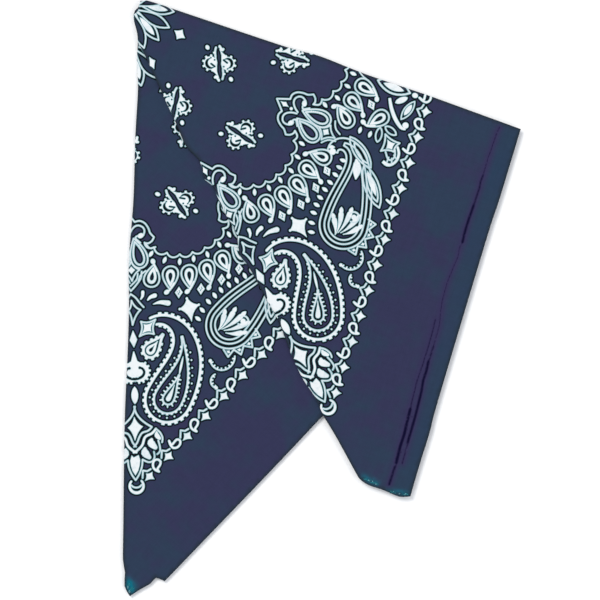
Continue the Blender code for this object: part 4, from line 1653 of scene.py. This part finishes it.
sewn = []
stitches = stitchTree()
for row, (way, _, radius) in seams.items():
    sewn.append(grow(f"{row}_stitches", [onRight(spline(way, 3.0), sewing["sink"])], stitches, {
        "Pitch": sewing["pitch"] * mm, "Length": sewing["length"] * mm, "Radius": radius * mm,
        "Jitter": sewing["jitter"] * mm, "Seed": sewing["seed"], "Finish": finishes["stitch"]}))

# loose threads: where each bunch lies, which way it runs, how many, and how far they spread
bunches = {
    "right": (
        ((31.5, -126.4), -26.0, 6, 2.0, "tealThread"), ((36.5, -129.0), -22.0, 5, 2.0, "tealThread"),
        ((32.8, -127.4), -60.0, 1, 0.3, "paleThread"), ((35.7, -128.0), -35.0, 1, 0.3, "paleThread"),
        ((38.0, -129.4), -35.0, 1, 0.3, "paleThread"), ((49.0, -135.6), -22.0, 4, 2.2, "tealThread"),
        ((50.6, -135.4), -40.0, 1, 0.3, "paleThread"), ((54.2, -136.0), 20.0, 1, 0.3, "paleThread"),
        ((57.0, -137.0), -4.0, 4, 2.6, "tealThread"), ((58.4, -136.4), 70.0, 1, 0.3, "paleThread")),
    "left": (
        ((-134.6, -200.4), 68.0, 5, 0.7, "tealThread"), ((-132.4, -203.2), 55.0, 6, 0.9, "tealThread"),
        ((-135.4, -202.0), -72.0, 2, 0.3, "paleThread"), ((-134.2, -205.0), -58.0, 2, 0.3, "paleThread")),
}
chance = random.Random(sewing["seed"])
threads = threadTree()
loose = {"right": [], "left": []}
for side, groups in bunches.items():
    height = heightRight if side == "right" else heightLeft
    for finishName in ("tealThread", "paleThread"):
        paths = []
        for middle, degrees, count, reach, kind in groups:
            if kind != finishName:
                continue
            for _ in range(count):
                length = chance.uniform(*sewing["loose"])
                if kind == "paleThread":
                    length *= sewing["paleShare"]
                bend = chance.uniform(-sewing["bend"], sewing["bend"])
                centre = (middle[0] + chance.uniform(-reach, reach), middle[1] + chance.uniform(-0.5, 0.5))
                way = np.array(turned(
                    [(length * (t - 0.5), bend * math.sin(math.pi * t)) for t in (0.0, 0.33, 0.66, 1.0)],
                    centre, degrees + chance.uniform(-sewing["lean"], sewing["lean"])))
                lift = chance.uniform(*sewing["lift"])
                paths.append([(x, y, z + lift) for (x, y), z in zip(way, height(way)[0])])
        loose[side].append(grow(f"{side}_{finishName}s", paths, threads, {
            "Radius": sewing["thread"] * mm, "Finish": finishes[finishName]}))
print("stitches and threads:", [len(piece.data.polygons) for piece in sewn + loose["right"] + loose["left"]])


# floor, light and camera

studio = {
    "camera": (-15.2, -1.4, 3000.0),
    "frameWidth": 419.4,
    "sensor": 36.0,
    "clip": (0.05, 50.0),
    "floorHalf": 6.0,
    "floor": ((0.955, 0.955, 0.955, 1.0), (0.95, 0.953, 0.957, 1.0)),
    "sky": (0.965, 0.995, 1.055, 1.0),
    "skyStrength": 0.69,
    # place, size, watts and colour
    "key": ((-1.25, 1.4, 3.1), 1.5, 66.0, (1.0, 0.985, 0.945)),
    "fill": ((2.2, -1.0, 3.0), 2.4, 28.0, (0.98, 0.99, 1.0)),
}


def floor():
    bm = bmesh.new()
    bmesh.ops.create_grid(bm, x_segments=2, y_segments=2, size=studio["floorHalf"])
    mesh = bpy.data.meshes.new("floor")
    bm.to_mesh(mesh)
    bm.free()
    piece = linked("floor", mesh)
    look = Finish("pale floor", Roughness=0.9, Specular_IOR_Level=0.1)
    spots = look.noise(look.node("ShaderNodeTexCoord", {}, {}, "Object"), 40.0, 2.0)
    mesh.materials.append(look.finish(Base_Color=look.blend(spots, *studio["floor"])))


def light(name, place, size, watts, colour):
    lamp = bpy.data.lights.new(name, "AREA")
    lamp.shape = "DISK"
    lamp.size = size
    lamp.energy = watts
    lamp.color = colour
    body = linked(name, lamp)
    body.location = place
    body.rotation_euler = (-Vector(place)).to_track_quat("-Z", "Y").to_euler()


def camera():
    data = bpy.data.cameras.new("camera")
    data.sensor_width = studio["sensor"]
    data.sensor_fit = "HORIZONTAL"
    data.lens = studio["sensor"] * studio["camera"][2] / studio["frameWidth"]
    data.clip_start, data.clip_end = studio["clip"]
    body = linked("camera", data)
    body.location = Vector(studio["camera"]) * mm
    bpy.context.scene.camera = body


floor()
camera()
light("key", *studio["key"])
light("fill", *studio["fill"])
sky = bpy.data.worlds.new("studio")
sky.use_nodes = True
sky.node_tree.nodes["Background"].inputs["Color"].default_value = studio["sky"]
sky.node_tree.nodes["Background"].inputs["Strength"].default_value = studio["skyStrength"]
bpy.context.scene.world = sky
bpy.context.scene.view_settings.view_transform = "Standard"


# how the pieces belong to the part

def flatSize(outline):
    flat = onRightCloth(outline)
    size = (flat.max(axis=0) - flat.min(axis=0)) * mm
    x, y = outline.T
    area = abs(np.sum(x * np.roll(y, -1) - y * np.roll(x, -1))) / 2.0 * mm * mm
    return (float(size[0]), float(size[1])), float(area)


for piece, node in (
        (rightCloth, "right_panel"), (leftCloth, "left_panel"), (layers, "hidden_layers"), (hem, "side_hem")):
    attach(piece, "root")
    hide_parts(node)
rightTrim = [*rightPrint, *sewn, *loose["right"]]
leftTrim = [*leftPrint, *loose["left"]]
for prints, node in ((rightTrim, "right_panel"), (leftTrim, "left_panel")):
    for piece in prints:
        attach(piece, "root")
rightFlat, rightArea = flatSize(rightOutline)
leftFlat, leftArea = flatSize(leftOutline)
